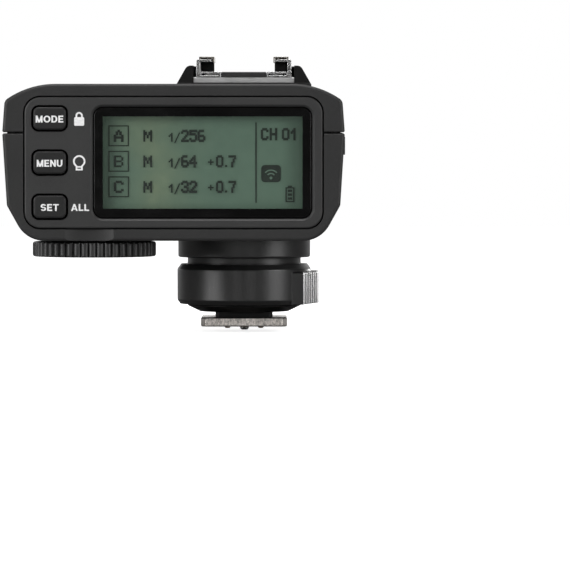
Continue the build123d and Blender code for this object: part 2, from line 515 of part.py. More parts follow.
def push_key(seat, cap_height):
    """A key built on the plane of its flange: the cap outward, the flange and post inward."""
    with BuildPart() as key:
        with BuildSketch(seat):
            RectangleRounded(KEY_W, KEY_H, KEY_R)
        extrude(amount=cap_height)
        crown = key.faces().sort_by(Axis(seat.origin, seat.z_dir))[-1]
        fillet(crown.edges(), radius=KEY_CROWN_R)
        with BuildSketch(seat):
            RectangleRounded(KEY_W + 2 * KEY_FLANGE, KEY_H + 2 * KEY_FLANGE, KEY_R)
        extrude(amount=-KEY_FLANGE_T)
        with BuildSketch(seat.offset(-KEY_FLANGE_T)):
            Circle(KEY_POST_R)
        extrude(amount=-KEY_POST)
    return key


panel_seat_y = REAR_Y + PANEL_T + SHOE_FIT
panel_cap_height = PANEL_T + SHOE_FIT + KEY_PROUD
panel_keys = {
    name: push_key(facing_rear(panel_seat_y).shift_origin((KEY_X, panel_seat_y, key_z)), panel_cap_height)
    for name, key_z in PANEL_KEYS.items()
}
top_seat_z = TOP_Z - WALL - SHOE_FIT
top_cap_height = WALL + SHOE_FIT - TRAY_DEPTH + TOP_KEY_PROUD
top_keys = {
    name: push_key(level(top_seat_z).shift_origin((*key_xy, top_seat_z)), top_cap_height)
    for name, key_xy in TOP_KEYS.items()
}


def tact_switches(board, spots, reach):
    """The push switches on a board's face: square bodies with round plungers, reach tall."""
    with BuildPart() as switches:
        with BuildSketch(board):
            with Locations(*spots):
                RectangleRounded(TACT_SIZE, TACT_SIZE, WALL / 4)
        extrude(amount=TACT_T)
        with BuildSketch(board.offset(TACT_T)):
            with Locations(*spots):
                Circle(TACT_PLUNGER_R)
        extrude(amount=reach - TACT_T)
    return switches


panel_post_end_y = panel_seat_y + KEY_FLANGE_T + KEY_POST
panel_switches = tact_switches(
    facing_rear(MAIN_BOARD_Y),
    [(KEY_X, key_z) for key_z in PANEL_KEYS.values()],
    MAIN_BOARD_Y - panel_post_end_y - KEY_TRAVEL - SHOE_FIT,
)
top_post_end_z = top_seat_z - KEY_FLANGE_T - KEY_POST
top_switches = tact_switches(
    level(TOP_BOARD_Z + BOARD_T),
    list(TOP_KEYS.values()),
    top_post_end_z - KEY_TRAVEL - SHOE_FIT - TOP_BOARD_Z - BOARD_T,
)

with BuildPart() as top_board:
    with BuildSketch(level(TOP_BOARD_Z)):
        with Locations((sum(TOP_KEY_COLUMNS) / 2, TOP_KEY_ROWS[1])):
            RectangleRounded(TOP_BOARD_W, TOP_BOARD_L, WALL)
    extrude(amount=BOARD_T)

# ================================================================ selector dial
with BuildPart() as dial_form:  # the dial's rounded rim, to trim the ridges with
    with BuildSketch(Plane.XZ) as rim_profile:
        with Locations((0, DIAL_BOTTOM_Z)):
            Rectangle(DIAL_R, DIAL_TOP_Z - DIAL_BOTTOM_Z, align=(Align.MIN, Align.MIN))
        fillet(rim_profile.vertices().group_by(Axis.X)[-1], radius=DIAL_EDGE_R)
    revolve(axis=Axis.Z)

with BuildPart() as dial_at_origin:
    with BuildSketch(level(DIAL_BOTTOM_Z)):
        Circle(DIAL_R - DIAL_RIDGE_R)
        with PolarLocations(DIAL_R - DIAL_RIDGE_R, DIAL_RIDGES):
            Circle(DIAL_RIDGE_R)
    extrude(amount=DIAL_TOP_Z - DIAL_BOTTOM_Z)
    add(dial_form.part, mode=Mode.INTERSECT)
    with BuildSketch(level(DIAL_BOTTOM_Z)):
        Circle(DIAL_DISH_R)
    extrude(amount=DIAL_DISH, mode=Mode.SUBTRACT)
    with BuildSketch(level(DIAL_TOP_Z)):
        Circle(DIAL_HUB_R)
    extrude(amount=BOTTOM_Z + WALL - DIAL_TOP_Z)
    with BuildSketch(level(BOTTOM_Z + WALL)):
        Circle(ENCODER_SHAFT_R)
    extrude(amount=ENCODER_SHAFT)

with BuildPart() as select_dial:
    with Locations((DIAL_X, DIAL_Y)):
        add(dial_at_origin.part)

with BuildPart() as dial_encoder:
    with BuildSketch(level(ENCODER_Z)):
        with Locations((DIAL_X, DIAL_Y)):
            RectangleRounded(ENCODER_SIZE, ENCODER_SIZE, WALL / 2)
    extrude(amount=ENCODER_T)
    chamfer(dial_encoder.faces().sort_by(Axis.Z)[-1].edges(), length=WALL / 4)
    with BuildSketch(level(ENCODER_Z)):
        with Locations((DIAL_X, DIAL_Y)):
            Circle(ENCODER_SHAFT_R + ENCODER_FIT)
    extrude(amount=ENCODER_SHAFT + ENCODER_FIT, mode=Mode.SUBTRACT)

# ================================================================ quick-lock foot
collar_screw_xy = [
    tuple(place.position)[:2] for place in PolarLocations(COLLAR_SCREW_R, 4, start_angle=COLLAR_SCREW_ANGLE)
]

with BuildPart() as mount_collar:
    with BuildSketch(level(COLLAR_Z)):
        Circle(COLLAR_R)
    extrude(amount=BOTTOM_Z - COLLAR_Z)
    fillet(mount_collar.faces().sort_by(Axis.Z)[0].edges(), radius=COLLAR_EDGE_R)
    with BuildSketch(level(NECK_Z)):
        Circle(NECK_R)
    extrude(amount=COLLAR_Z - NECK_Z)
    with BuildSketch(level(HOUSING_TOP_Z)):
        Circle(CORE_R)
    extrude(amount=NECK_Z - HOUSING_TOP_Z)
    with BuildSketch(level(HOUSING_TOP_Z)):
        Circle(CORE_BORE_R)
    extrude(amount=BOTTOM_Z - HOUSING_TOP_Z, mode=Mode.SUBTRACT)
    # The lock pin's hole, and the upright slot that its follower passes through.
    with BuildSketch(level(HOUSING_TOP_Z)):
        with Locations((0, LOCK_PIN_Y)):
            Circle(LOCK_PIN_R + CONTACT_FIT)
    extrude(amount=LOCK_PIN_TOP_Z + LOCK_LIFT + LOCK_PIN_R - HOUSING_TOP_Z, mode=Mode.SUBTRACT)
    with BuildSketch(facing_rear(CORE_R + OVERSHOOT)):
        with Locations((0, FOLLOWER_Z + LOCK_LIFT / 2)):
            SlotOverall(
                LOCK_LIFT + 2 * (FOLLOWER_R + FOLLOWER_FIT), 2 * (FOLLOWER_R + FOLLOWER_FIT), rotation=90
            )
    extrude(amount=CORE_R + OVERSHOOT - LOCK_PIN_Y, mode=Mode.SUBTRACT)
    # Screws: from the casing's floor down into the collar, and from the foot up into its core.
    with BuildSketch(level(BOTTOM_Z)):
        with Locations(*collar_screw_xy):
            Circle(FOOT_SCREW_R)
    extrude(amount=COLLAR_Z - BOTTOM_Z, mode=Mode.SUBTRACT)
    with BuildSketch(level(HOUSING_TOP_Z)):
        with Locations(*FOOT_SCREW_XY):
            Circle(FOOT_SCREW_R)
    extrude(amount=FOOT_SCREW_TOP_Z - HOUSING_TOP_Z, mode=Mode.SUBTRACT)

with BuildPart() as ring_body:
    with BuildSketch(Plane.XZ):
        with BuildLine():
            Polyline(
                (CORE_R + RING_FIT, RING_BOTTOM_Z),
                (RING_BEVEL_R, RING_BOTTOM_Z),
                (RING_R, RING_BEVEL_Z),
                (RING_R, RING_CONE_Z),
                (RING_TOP_R, RING_TOP_Z),
                (NECK_R + RING_FIT, RING_TOP_Z),
                (NECK_R + RING_FIT, NECK_Z - RING_FIT),
                (CORE_R + RING_FIT, NECK_Z - RING_FIT),
                close=True,
            )
        make_face()
    revolve(axis=Axis.Z)
    outer_rims = ring_body.edges().filter_by(lambda edge: abs(edge.bounding_box().max.X - RING_R) < RING_FIT)
    fillet(outer_rims, radius=LEVER_EDGE_R)

with BuildPart() as lever:
    with BuildSketch(level(RING_BOTTOM_Z)) as lever_plan:
        with BuildLine():
            Polyline(LEVER_ROOT, LEVER_HEEL, LEVER_TIP, LEVER_BACK, close=True)
        make_face()
        fillet(lever_plan.vertices().sort_by(Axis.X)[-1], radius=LEVER_TIP_R)
    extrude(amount=LEVER_TOP_Z - RING_BOTTOM_Z)
    fillet(lever.faces().sort_by(Axis.Z)[-1].edges(), radius=LEVER_EDGE_R)
    # Upright finger grooves across the lever's grip face.
    with BuildSketch(level(RING_BOTTOM_Z)):
        heel, tip = Vector(*LEVER_HEEL), Vector(*LEVER_TIP)
        groove_steps = [(step + 1) / (LEVER_RIBS + 2) for step in range(LEVER_RIBS)]
        with Locations(*[heel + (tip - heel) * step for step in groove_steps]):
            Circle(LEVER_RIB_R)
    extrude(amount=LEVER_TOP_Z - RING_BOTTOM_Z, mode=Mode.SUBTRACT)
    with BuildSketch(level(RING_BOTTOM_Z)):
        Circle(CORE_R + LEVER_TIP_R)
    extrude(amount=LEVER_TOP_Z - RING_BOTTOM_Z, mode=Mode.SUBTRACT)

groove_depth = FOLLOWER_REACH + FOLLOWER_FIT - CORE_R
groove_radius = CORE_R + groove_depth / 2
with BuildPart() as lock_groove:  # climbs around the ring's bore, starting at +X
    with BuildLine(level(FOLLOWER_Z)) as climb:
        Helix(pitch=LOCK_LIFT * 360 / LOCK_TURN, height=LOCK_LIFT, radius=groove_radius)
    with BuildSketch(Plane.XZ):
        with Locations((groove_radius - RING_FIT, FOLLOWER_Z)):
            Rectangle(groove_depth + 2 * RING_FIT, 2 * (FOLLOWER_R + FOLLOWER_FIT))
    sweep(path=climb.wires()[0], is_frenet=True)

with BuildPart() as lock_ring:
    add(ring_body.part)
    add(lever.part)
    add(lock_groove.part, rotation=(0, 0, FOLLOWER_ANGLE), mode=Mode.SUBTRACT)
    groove_ends = ((FOLLOWER_ANGLE, FOLLOWER_Z), (FOLLOWER_ANGLE + LOCK_TURN, FOLLOWER_Z + LOCK_LIFT))
    for angle, end_z in groove_ends:
        outward = Vector(1, 0, 0).rotate(Axis.Z, angle)
        with BuildSketch(Plane(origin=(0, 0, end_z), z_dir=outward)):
            Circle(FOLLOWER_R + FOLLOWER_FIT)
        extrude(amount=CORE_R + groove_depth, mode=Mode.SUBTRACT)

with BuildPart() as lock_pin:
    with BuildSketch(level(-LOCK_PIN_REACH)):
        with Locations((0, LOCK_PIN_Y)):
            Circle(LOCK_PIN_R)
    extrude(amount=LOCK_PIN_TOP_Z + LOCK_PIN_REACH)
    chamfer(lock_pin.faces().sort_by(Axis.Z)[0].edges(), length=LOCK_PIN_R / 3)
    with BuildSketch(facing_rear(FOLLOWER_REACH)):
        with Locations((0, FOLLOWER_Z)):
            Circle(FOLLOWER_R)
    extrude(amount=FOLLOWER_REACH - LOCK_PIN_Y)

with BuildPart() as foot_housing:
    with BuildSketch(Plane.XZ):
        with BuildLine():
            Polyline(
                (0, FOOT_NECK_TOP),
                (HOUSING_LOW_R, FOOT_NECK_TOP),
                (HOUSING_R, HOUSING_TOP_Z - HOUSING_RIM),
                (HOUSING_R, HOUSING_TOP_Z),
                (0, HOUSING_TOP_Z),
                close=True,
            )
        make_face()
    revolve(axis=Axis.Z)
    # The neck that runs between a camera shoe's lips, hollow around the contacts.
    with BuildSketch(level(FOOT_T)):
        RectangleRounded(FOOT_NECK_W, FOOT_NECK_L, FOOT_CORNER)
        with Locations((0, CONTACT_BLOCK_Y)):
            RectangleRounded(CONTACT_BLOCK_W, CONTACT_BLOCK_L, FOOT_CORNER, mode=Mode.SUBTRACT)
    extrude(amount=FOOT_NECK_TOP - FOOT_T)
    with BuildSketch(level(FOOT_T)):
        with Locations((0, LOCK_PIN_Y)):
            Circle(LOCK_PIN_R + CONTACT_FIT)
        with Locations(*FOOT_SCREW_XY):
            Circle(FOOT_SCREW_R)
    extrude(amount=HOUSING_TOP_Z - FOOT_T, mode=Mode.SUBTRACT)

with BuildPart() as foot_plate:
    with BuildSketch(Plane.XY) as foot_outline:
        Rectangle(FOOT_W, FOOT_L)
        chamfer(foot_outline.vertices(), length=FOOT_CORNER)
    extrude(amount=FOOT_T)
    chamfer(foot_plate.faces().filter_by(Axis.Z).edges(), length=FOOT_EDGE)
    with BuildSketch(Plane.XY):
        with Locations((0, CONTACT_BLOCK_Y)):
            RectangleRounded(CONTACT_BLOCK_W, CONTACT_BLOCK_L, FOOT_CORNER)
        with Locations((0, LOCK_PIN_Y)):
            Circle(LOCK_PIN_R + CONTACT_FIT)
    extrude(amount=FOOT_T, mode=Mode.SUBTRACT)
    with Locations(Plane.XY.rotated((180, 0, 0))):
        with Locations(*FOOT_SCREW_XY):
            CounterSinkHole(FOOT_SCREW_R, FOOT_SCREW_HEAD_R, depth=FOOT_T)

contact_radii = {name: CONTACT_CENTER_R if name == "center_contact_pin" else CONTACT_R for name in CONTACT_XY}

with BuildPart() as foot_contact_block:
    with BuildSketch(Plane.XY):
        with Locations((0, CONTACT_BLOCK_Y)):
            RectangleRounded(
                CONTACT_BLOCK_W - 2 * CONTACT_BLOCK_FIT, CONTACT_BLOCK_L - 2 * CONTACT_BLOCK_FIT, FOOT_CORNER
            )
    extrude(amount=FOOT_NECK_TOP)
    for name, contact_xy in CONTACT_XY.items():
        with BuildSketch(Plane.XY):
            with Locations(contact_xy):
                Circle(contact_radii[name] + CONTACT_FIT)
        extrude(amount=FOOT_NECK_TOP, mode=Mode.SUBTRACT)
        with BuildSketch(level(CONTACT_SHOULDER_Z)):
            with Locations(contact_xy):
                Circle(contact_radii[name] + CONTACT_SHOULDER + CONTACT_FIT)
        extrude(amount=FOOT_NECK_TOP - CONTACT_SHOULDER_Z, mode=Mode.SUBTRACT)


def spring_contact(contact_xy, radius):
    """A sprung contact of the foot: a domed pin that a shoulder keeps in its block."""
    with BuildPart() as contact:
        with BuildSketch(level(-CONTACT_PROUD)):
            with Locations(contact_xy):
                Circle(radius)
        extrude(amount=CONTACT_TOP_Z + CONTACT_PROUD)
        fillet(contact.faces().sort_by(Axis.Z)[0].edges(), radius=radius / 2)
        with BuildSketch(level(CONTACT_SHOULDER_Z + CONTACT_FIT)):
            with Locations(contact_xy):
                Circle(radius + CONTACT_SHOULDER)
        extrude(amount=CONTACT_SHOULDER_T)
    return contact


contact_pins = {name: spring_contact(xy, contact_radii[name]) for name, xy in CONTACT_XY.items()}


def pan_screws(head_plane, spots, length, head_r=SCREW_HEAD_R, head_t=SCREW_HEAD_T, shank_r=SCREW_R):
    """Pan-head screws: heads stand on head_plane, shanks run the other way, each with a cross."""
    with BuildPart() as screws:
        with BuildSketch(head_plane):
            with Locations(*spots):
                Circle(head_r)
        extrude(amount=head_t)
        head_tops = screws.faces().group_by(Axis(head_plane.origin, head_plane.z_dir))[-1]
        fillet(head_tops.edges(), radius=head_t / 3)
        with BuildSketch(head_plane):
            with Locations(*spots):
                Circle(shank_r - SHOE_FIT)
        extrude(amount=-length)
        with BuildSketch(head_plane.offset(head_t)):
            with Locations(*spots):
                Rectangle(2 * SCREW_DRIVE_R, SCREW_DRIVE_R / 2)
                Rectangle(SCREW_DRIVE_R / 2, 2 * SCREW_DRIVE_R)
        extrude(amount=-head_t / 2, mode=Mode.SUBTRACT)
    return screws


def countersunk_screws(head_plane, spots, length, head_r, shank_r):
    """Countersunk screws, flush with head_plane; their shanks run against its normal."""
    with BuildPart() as screws:
        cone = head_r - shank_r
        with BuildSketch(head_plane):
            with Locations(*spots):
                Circle(shank_r - SHOE_FIT)
        extrude(amount=-length)
        for spot in spots:
            with BuildSketch(head_plane):
                with Locations(spot):
                    Circle(head_r - SHOE_FIT)
            with BuildSketch(head_plane.offset(-cone)):
                with Locations(spot):
                    Circle(shank_r - SHOE_FIT)
            loft()
        with BuildSketch(head_plane):
            with Locations(*spots):
                Rectangle(2 * shank_r, shank_r / 2)
                Rectangle(shank_r / 2, 2 * shank_r)
        extrude(amount=-cone / 2, mode=Mode.SUBTRACT)
    return screws


def from_below(spots):
    """The same places, for a plane that faces down and so has its Y reversed."""
    return [(x, -y) for x, y in spots]


underside = Plane.XY.rotated((180, 0, 0))
foot_screws = countersunk_screws(
    underside, from_below(FOOT_SCREW_XY), FOOT_SCREW_TOP_Z - SHOE_FIT, FOOT_SCREW_HEAD_R, FOOT_SCREW_R
)
collar_screws = pan_screws(
    level(BOTTOM_Z + WALL), collar_screw_xy, BOTTOM_Z + WALL - COLLAR_Z - SHOE_FIT, shank_r=FOOT_SCREW_R
)
case_screw_plane = underside.offset(-BOTTOM_Z - CASE_SCREW_RECESS)
case_screws = pan_screws(case_screw_plane, from_below(CASE_SCREW_XY), POST_SPLIT_Z + BOARD_T - BOTTOM_Z)

# ================================================================ hot shoe
shoe_length = SHOE_Y[1] - SHOE_Y[0]

with BuildPart() as shoe_base:
    with BuildSketch(level(BED_Z)):
        with Locations((0, sum(SHOE_Y) / 2)):
            Rectangle(SHOE_BASE_W, shoe_length)
            with Locations(*[(x, y - sum(SHOE_Y) / 2) for x, y in SHOE_SCREW_XY]):
                Circle(SHOE_SCREW_R, mode=Mode.SUBTRACT)
    extrude(amount=SHOE_BASE_T)
    chamfer(shoe_base.faces().sort_by(Axis.Y)[0].edges().group_by(Axis.Z)[-1], length=SHOE_FIT * 3)

with BuildPart() as shoe_rail_right:
    with BuildSketch(facing_rear(SHOE_Y[1])) as rail_profile:
        with BuildLine():
            Polyline(
                (RAIL_HEM_X, RAIL_BOTTOM_Z),
                (RAIL_OUTER_X, RAIL_BOTTOM_Z),
                (RAIL_OUTER_X, RAIL_TOP_Z),
                (RAIL_LIP_X, RAIL_TOP_Z),
                (RAIL_LIP_X, RAIL_LIP_Z),
                (RAIL_INNER_X, RAIL_LIP_Z),
                (RAIL_INNER_X, RAIL_FLOOR_Z),
                (RAIL_HEM_X, RAIL_FLOOR_Z),
                close=True,
            )
        make_face()
        fillet(rail_profile.vertices().group_by(Axis.X)[-1].sort_by(Axis.Y)[-1], radius=RAIL_SHEET)
        # The folded sheet leaves a flat gap inside the floor of the shoe.
        with Locations(((RAIL_HEM_X + RAIL_INNER_X) / 2, (RAIL_BOTTOM_Z + RAIL_FLOOR_Z) / 2)):
            Rectangle(
                RAIL_INNER_X - RAIL_HEM_X - RAIL_SHEET,
                RAIL_FLOOR_Z - RAIL_BOTTOM_Z - 2 * RAIL_SHEET,
                mode=Mode.SUBTRACT,
            )
    extrude(amount=shoe_length)
    lip_ends = shoe_rail_right.edges().filter_by(Axis.Z).group_by(Axis.Z)[-1].group_by(Axis.X)[0]
    chamfer(lip_ends.sort_by(Axis.Y)[0], length=RAIL_SHEET)
    with BuildSketch(level(RAIL_BOTTOM_Z)):
        with Locations(*[spot for spot in SHOE_SCREW_XY if spot[0] > 0]):
            Circle(SHOE_SCREW_HEAD_R)
    extrude(amount=RAIL_FLOOR_Z - RAIL_BOTTOM_Z, mode=Mode.SUBTRACT)

with BuildPart() as shoe_rail_left:
    mirror(shoe_rail_right.part, about=Plane.YZ)

with BuildPart() as shoe_springs:
    with BuildSketch(facing_rear(SHOE_Y[1] - RAIL_SHEET)):
        with BuildLine():
            Polyline(
                (SPRING_OUT_X, RAIL_TOP_Z),
                (SPRING_OUT_X, SPRING_TOP_Z),
                (SPRING_IN_X, SPRING_TOP_Z),
                (SPRING_IN_X, SPRING_DROP_Z),
                (SPRING_IN_X + SPRING_T, SPRING_DROP_Z),
                (SPRING_IN_X + SPRING_T, SPRING_TOP_Z - SPRING_T),
                (SPRING_OUT_X - SPRING_T, SPRING_TOP_Z - SPRING_T),
                (SPRING_OUT_X - SPRING_T, RAIL_TOP_Z),
                close=True,
            )
        make_face()
    extrude(amount=shoe_length - 2 * RAIL_SHEET)
    mirror(about=Plane.YZ)

with BuildPart() as shoe_contact_block:
    with BuildSketch(level(RAIL_BOTTOM_Z)):
        with Locations((0, sum(SHOE_Y) / 2)):
            Rectangle(SHOE_BLOCK_W, shoe_length)
    extrude(amount=RAIL_FLOOR_Z - RAIL_BOTTOM_Z)
    chamfer(shoe_contact_block.faces().sort_by(Axis.Z)[-1].edges(), length=SHOE_PAD_T / 2)
    with BuildSketch(level(RAIL_FLOOR_Z - SHOE_PAD_T)):
        for name, contact_xy in CONTACT_XY.items():
            with Locations(contact_xy):
                Circle(contact_radii[name] + CONTACT_FIT)
    extrude(amount=SHOE_PAD_T, mode=Mode.SUBTRACT)


def shoe_pads(names):
    """Flat contacts of the shoe, set in its block."""
    with BuildPart() as pads:
        with BuildSketch(level(RAIL_FLOOR_Z - SHOE_PAD_T)):
            for name in names:
                with Locations(CONTACT_XY[name]):
                    Circle(contact_radii[name])
        extrude(amount=SHOE_PAD_T)
    return pads


data_contact_names = [name for name in CONTACT_XY if name.startswith("data")]
shoe_center_contact = shoe_pads(["center_contact_pin"])
shoe_data_contacts = shoe_pads(data_contact_names)
shoe_screws = pan_screws(
    level(RAIL_BOTTOM_Z),
    SHOE_SCREW_XY,
    RAIL_BOTTOM_Z - TOP_Z + WALL + SHOE_BOSS - SHOE_FIT,
    head_r=SHOE_SCREW_HEAD_R - SHOE_FIT,
    shank_r=SHOE_SCREW_R,
)

# ================================================================ battery bay
cell_right_x = CELL_LEFT_X + CELL_LENGTH + CELL_NUB

with BuildPart() as battery_holder:
    with BuildSketch(facing_right(CELL_LEFT_X)):
        with Locations((sum(HOLDER_Y) / 2, sum(HOLDER_Z) / 2)):
            Rectangle(HOLDER_Y[1] - HOLDER_Y[0], HOLDER_Z[1] - HOLDER_Z[0])
    extrude(amount=HOLDER_RIGHT_X - CELL_LEFT_X)
    add(liner.part, mode=Mode.INTERSECT)
    with BuildSketch(facing_right(CELL_LEFT_X)):
        with Locations(*[(cell_y, CELL_Z) for cell_y in CELL_YS]):
            Circle(CELL_R + HOLDER_BORE_FIT)
    extrude(amount=cell_right_x + TERMINAL_T + TERMINAL_DOME - CELL_LEFT_X, mode=Mode.SUBTRACT)
    with BuildSketch(facing_rear(DOOR_Y[1])):
        with Locations((DOOR_PIN_X, DOOR_PIN_Z)):
            Circle(DOOR_RELIEF_R + DOOR_GAP)
    extrude(amount=DOOR_Y[1] - DOOR_Y[0], mode=Mode.SUBTRACT)


def cell(cell_y, nub_right):
    """An AA cell lying along X; its nub points right or left."""
    with BuildPart() as battery:
        with BuildSketch(facing_right(CELL_LEFT_X + (0 if nub_right else CELL_NUB))):
            with Locations((cell_y, CELL_Z)):
                Circle(CELL_R)
        extrude(amount=CELL_LENGTH)
        fillet(battery.edges().filter_by(GeomType.CIRCLE), radius=CELL_EDGE_R)
        nub_x = CELL_LEFT_X + CELL_LENGTH if nub_right else CELL_LEFT_X
        with BuildSketch(facing_right(nub_x)):
            with Locations((cell_y, CELL_Z)):
                Circle(CELL_NUB_R)
        extrude(amount=CELL_NUB)
    return battery


cell_rear = cell(CELL_YS[0], nub_right=True)
cell_front = cell(CELL_YS[1], nub_right=False)

with BuildPart() as battery_terminals:
    with BuildSketch(facing_right(cell_right_x + TERMINAL_DOME)):
        with Locations(*[(cell_y, CELL_Z) for cell_y in CELL_YS]):
            RectangleRounded(TERMINAL_W, TERMINAL_W, WALL / 2)
    extrude(amount=TERMINAL_T)
    with BuildSketch(facing_right(cell_right_x + SHOE_FIT)):
        with Locations(*[(cell_y, CELL_Z) for cell_y in CELL_YS]):
            Circle(TERMINAL_DOME_R)
    extrude(amount=TERMINAL_DOME - SHOE_FIT)
    fillet(battery_terminals.faces().group_by(Axis.X)[0].edges(), radius=TERMINAL_DOME / 2)

contact_plate_x = BODY_X - SIDE_HALF + WALL + 2 * TERMINAL_T
with BuildPart() as battery_door_contact:
    with BuildSketch(facing_right(contact_plate_x)):
        with Locations((sum(CELL_YS) / 2, CELL_Z)):
            RectangleRounded(CELL_YS[1] - CELL_YS[0] + TERMINAL_W, TERMINAL_W, WALL)
    extrude(amount=-2 * WALL)
    add(casing_block(WALL), mode=Mode.INTERSECT)
    with BuildSketch(facing_right(contact_plate_x)):
        with Locations(*[(cell_y, CELL_Z) for cell_y in CELL_YS]):
            Circle(TERMINAL_DOME_R)
    extrude(amount=CELL_LEFT_X - DOOR_GAP - contact_plate_x)
    fillet(battery_door_contact.faces().group_by(Axis.X)[-1].edges(), radius=TERMINAL_T)

# ================================================================ side controls and sockets
with BuildPart() as side_board:
    with BuildSketch(facing_right(SIDE_BOARD_X)):
        with Locations((sum(SIDE_BOARD_Y) / 2, sum(SIDE_BOARD_Z) / 2)):
            RectangleRounded(SIDE_BOARD_Y[1] - SIDE_BOARD_Y[0], SIDE_BOARD_Z[1] - SIDE_BOARD_Z[0], WALL)
    extrude(amount=BOARD_T)

side_board_face_x = SIDE_BOARD_X + BOARD_T
with BuildPart() as switch_bodies:
    with BuildSketch(facing_right(side_board_face_x)):
        with Locations(*[(rest_y + SWITCH_TRAVEL / 2, SWITCH_Z) for rest_y in SWITCH_YS.values()]):
            RectangleRounded(SWITCH_BODY_W, SWITCH_BODY_H, WALL / 4)
    extrude(amount=SWITCH_STEM_X - SHOE_FIT - side_board_face_x)


def slide_knob(rest_y):
    """A slide switch's knob: a flange on the switch body, and a ribbed grip through the wall."""
    with BuildPart() as knob:
        with BuildSketch(facing_right(SWITCH_STEM_X)):
            with Locations((rest_y, SWITCH_Z)):
                Rectangle(SWITCH_W + 2 * SWITCH_FLANGE, SWITCH_H)
        extrude(amount=SWITCH_FLANGE_T)
        with BuildSketch(facing_right(SWITCH_STEM_X)):
            with Locations((rest_y, SWITCH_Z)):
                Rectangle(SWITCH_W, SWITCH_H)
        extrude(amount=RIGHT_X - SWITCH_GAP + SWITCH_PROUD - SWITCH_STEM_X)
        with BuildSketch(facing_right(RIGHT_X - SWITCH_GAP + SWITCH_PROUD)):
            with GridLocations(SWITCH_W / 4, 0, 3, 1):
                with Locations((rest_y, SWITCH_Z)):
                    Rectangle(SWITCH_W / 8, SWITCH_H)
        extrude(amount=-SWITCH_PROUD / 2, mode=Mode.SUBTRACT)
    return knob


slide_knobs = {name: slide_knob(rest_y) for name, rest_y in SWITCH_YS.items()}

with BuildPart() as usb_port:
    with BuildSketch(facing_right(side_board_face_x)):
        with Locations((USB_Y, SOCKET_Z)):
            SlotOverall(USB_W, USB_H)
    extrude(amount=SOCKET_X + WALL - side_board_face_x)
    with BuildSketch(facing_right(SOCKET_X + WALL)):
        with Locations((USB_Y, SOCKET_Z)):
            SlotOverall(USB_W - 2 * USB_SHELL, USB_H - 2 * USB_SHELL)
            Rectangle(USB_TONGUE_W, USB_TONGUE_H, mode=Mode.SUBTRACT)
    extrude(amount=-USB_DEPTH, mode=Mode.SUBTRACT)

with BuildPart() as sync_jack:
    with BuildSketch(facing_right(side_board_face_x)):
        with Locations((JACK_Y, SOCKET_Z)):
            RectangleRounded(JACK_BODY_W, JACK_BODY_W, WALL / 4)
    extrude(amount=JACK_BODY_L)
    with BuildSketch(facing_right(side_board_face_x + JACK_BODY_L)):
        with Locations((JACK_Y, SOCKET_Z)):
            Circle(JACK_SLEEVE_R)
    extrude(amount=JACK_MOUTH_X - side_board_face_x - JACK_BODY_L)
    with BuildSketch(facing_right(JACK_MOUTH_X)):
        with Locations((JACK_Y, SOCKET_Z)):
            Circle(JACK_BORE_R)
    extrude(amount=-JACK_DEPTH, mode=Mode.SUBTRACT)

# ================================================================ focus-assist lamp
with BuildPart() as lamp_window:
    with BuildSketch(facing_rear(FRONT_Y)):
        with Locations((BODY_X, LAMP_Z)):
            RectangleRounded(LAMP_W, LAMP_H, LAMP_R)
    extrude(amount=WALL + LAMP_FIT)
    with BuildSketch(facing_rear(FRONT_Y - WALL - LAMP_FIT)):
        with Locations((BODY_X, LAMP_Z)):
            RectangleRounded(LAMP_W + 2 * LAMP_FLANGE, LAMP_H + 2 * LAMP_FLANGE, LAMP_R)
    extrude(amount=LAMP_FLANGE_T)

lamp_back_y = FRONT_Y - WALL - LAMP_FIT - LAMP_FLANGE_T - DOOR_GAP
with BuildPart() as lamp_led:
    with BuildSketch(facing_rear(lamp_back_y)):
        with Locations((BODY_X, LAMP_Z)):
            Circle(LAMP_LED_R)
    extrude(amount=LAMP_LED_T)
    fillet(lamp_led.faces().sort_by(Axis.Y)[-1].edges(), radius=LAMP_LED_R / 2)
    with BuildSketch(facing_rear(lamp_back_y - LAMP_LED_T)):
        with Locations((BODY_X, LAMP_Z)):
            Rectangle(LAMP_W - 2 * LAMP_R, LAMP_H)
    extrude(amount=BOARD_T)

# ================================================================ export
sub_parts = {
    "top_cover": top_cover,
    "bottom_cover": bottom_cover,
    "rear_panel": rear_panel,
    "display_window": display_window,
    "lcd_glass": lcd_glass,
    "display_backlight": display_backlight,
    "main_board": main_board,
    "radio_module": radio_module,
    "panel_switches": panel_switches,
    "top_board": top_board,
    "top_switches": top_switches,
    "select_dial": select_dial,
    "dial_encoder": dial_encoder,
    "mount_collar": mount_collar,
    "lock_ring": lock_ring,
    "lock_pin": lock_pin,
    "foot_housing": foot_housing,
    "foot_plate": foot_plate,
    "foot_contact_block": foot_contact_block,
    "foot_screws": foot_screws,
    "collar_screws": collar_screws,
    "case_screws": case_screws,
    "shoe_base": shoe_base,
    "shoe_rail_left": shoe_rail_left,
    "shoe_rail_right": shoe_rail_right,
    "shoe_springs": shoe_springs,
    "shoe_contact_block": shoe_contact_block,
    "shoe_center_contact": shoe_center_contact,
    "shoe_data_contacts": shoe_data_contacts,
    "shoe_screws": shoe_screws,
    "battery_door": battery_door,
    "battery_door_pin": battery_door_pin,
    "battery_door_contact": battery_door_contact,
    "battery_holder": battery_holder,
    "battery_terminals": battery_terminals,
    "cell_rear": cell_rear,
    "cell_front": cell_front,
    "side_board": side_board,
    "switch_bodies": switch_bodies,
    "usb_port": usb_port,
    "sync_jack": sync_jack,
    "lamp_window": lamp_window,
    "lamp_led": lamp_led,
    **panel_keys,
    **top_keys,
    **contact_pins,
    **slide_knobs,
}

for name, sub_part in sub_parts.items():
    sub_part.part.label = name
    export_step(sub_part.part, f"parts/{name}.step")
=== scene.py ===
import itertools
import math

import bmesh
import bpy
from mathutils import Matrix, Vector
from mathutils.bvhtree import BVHTree


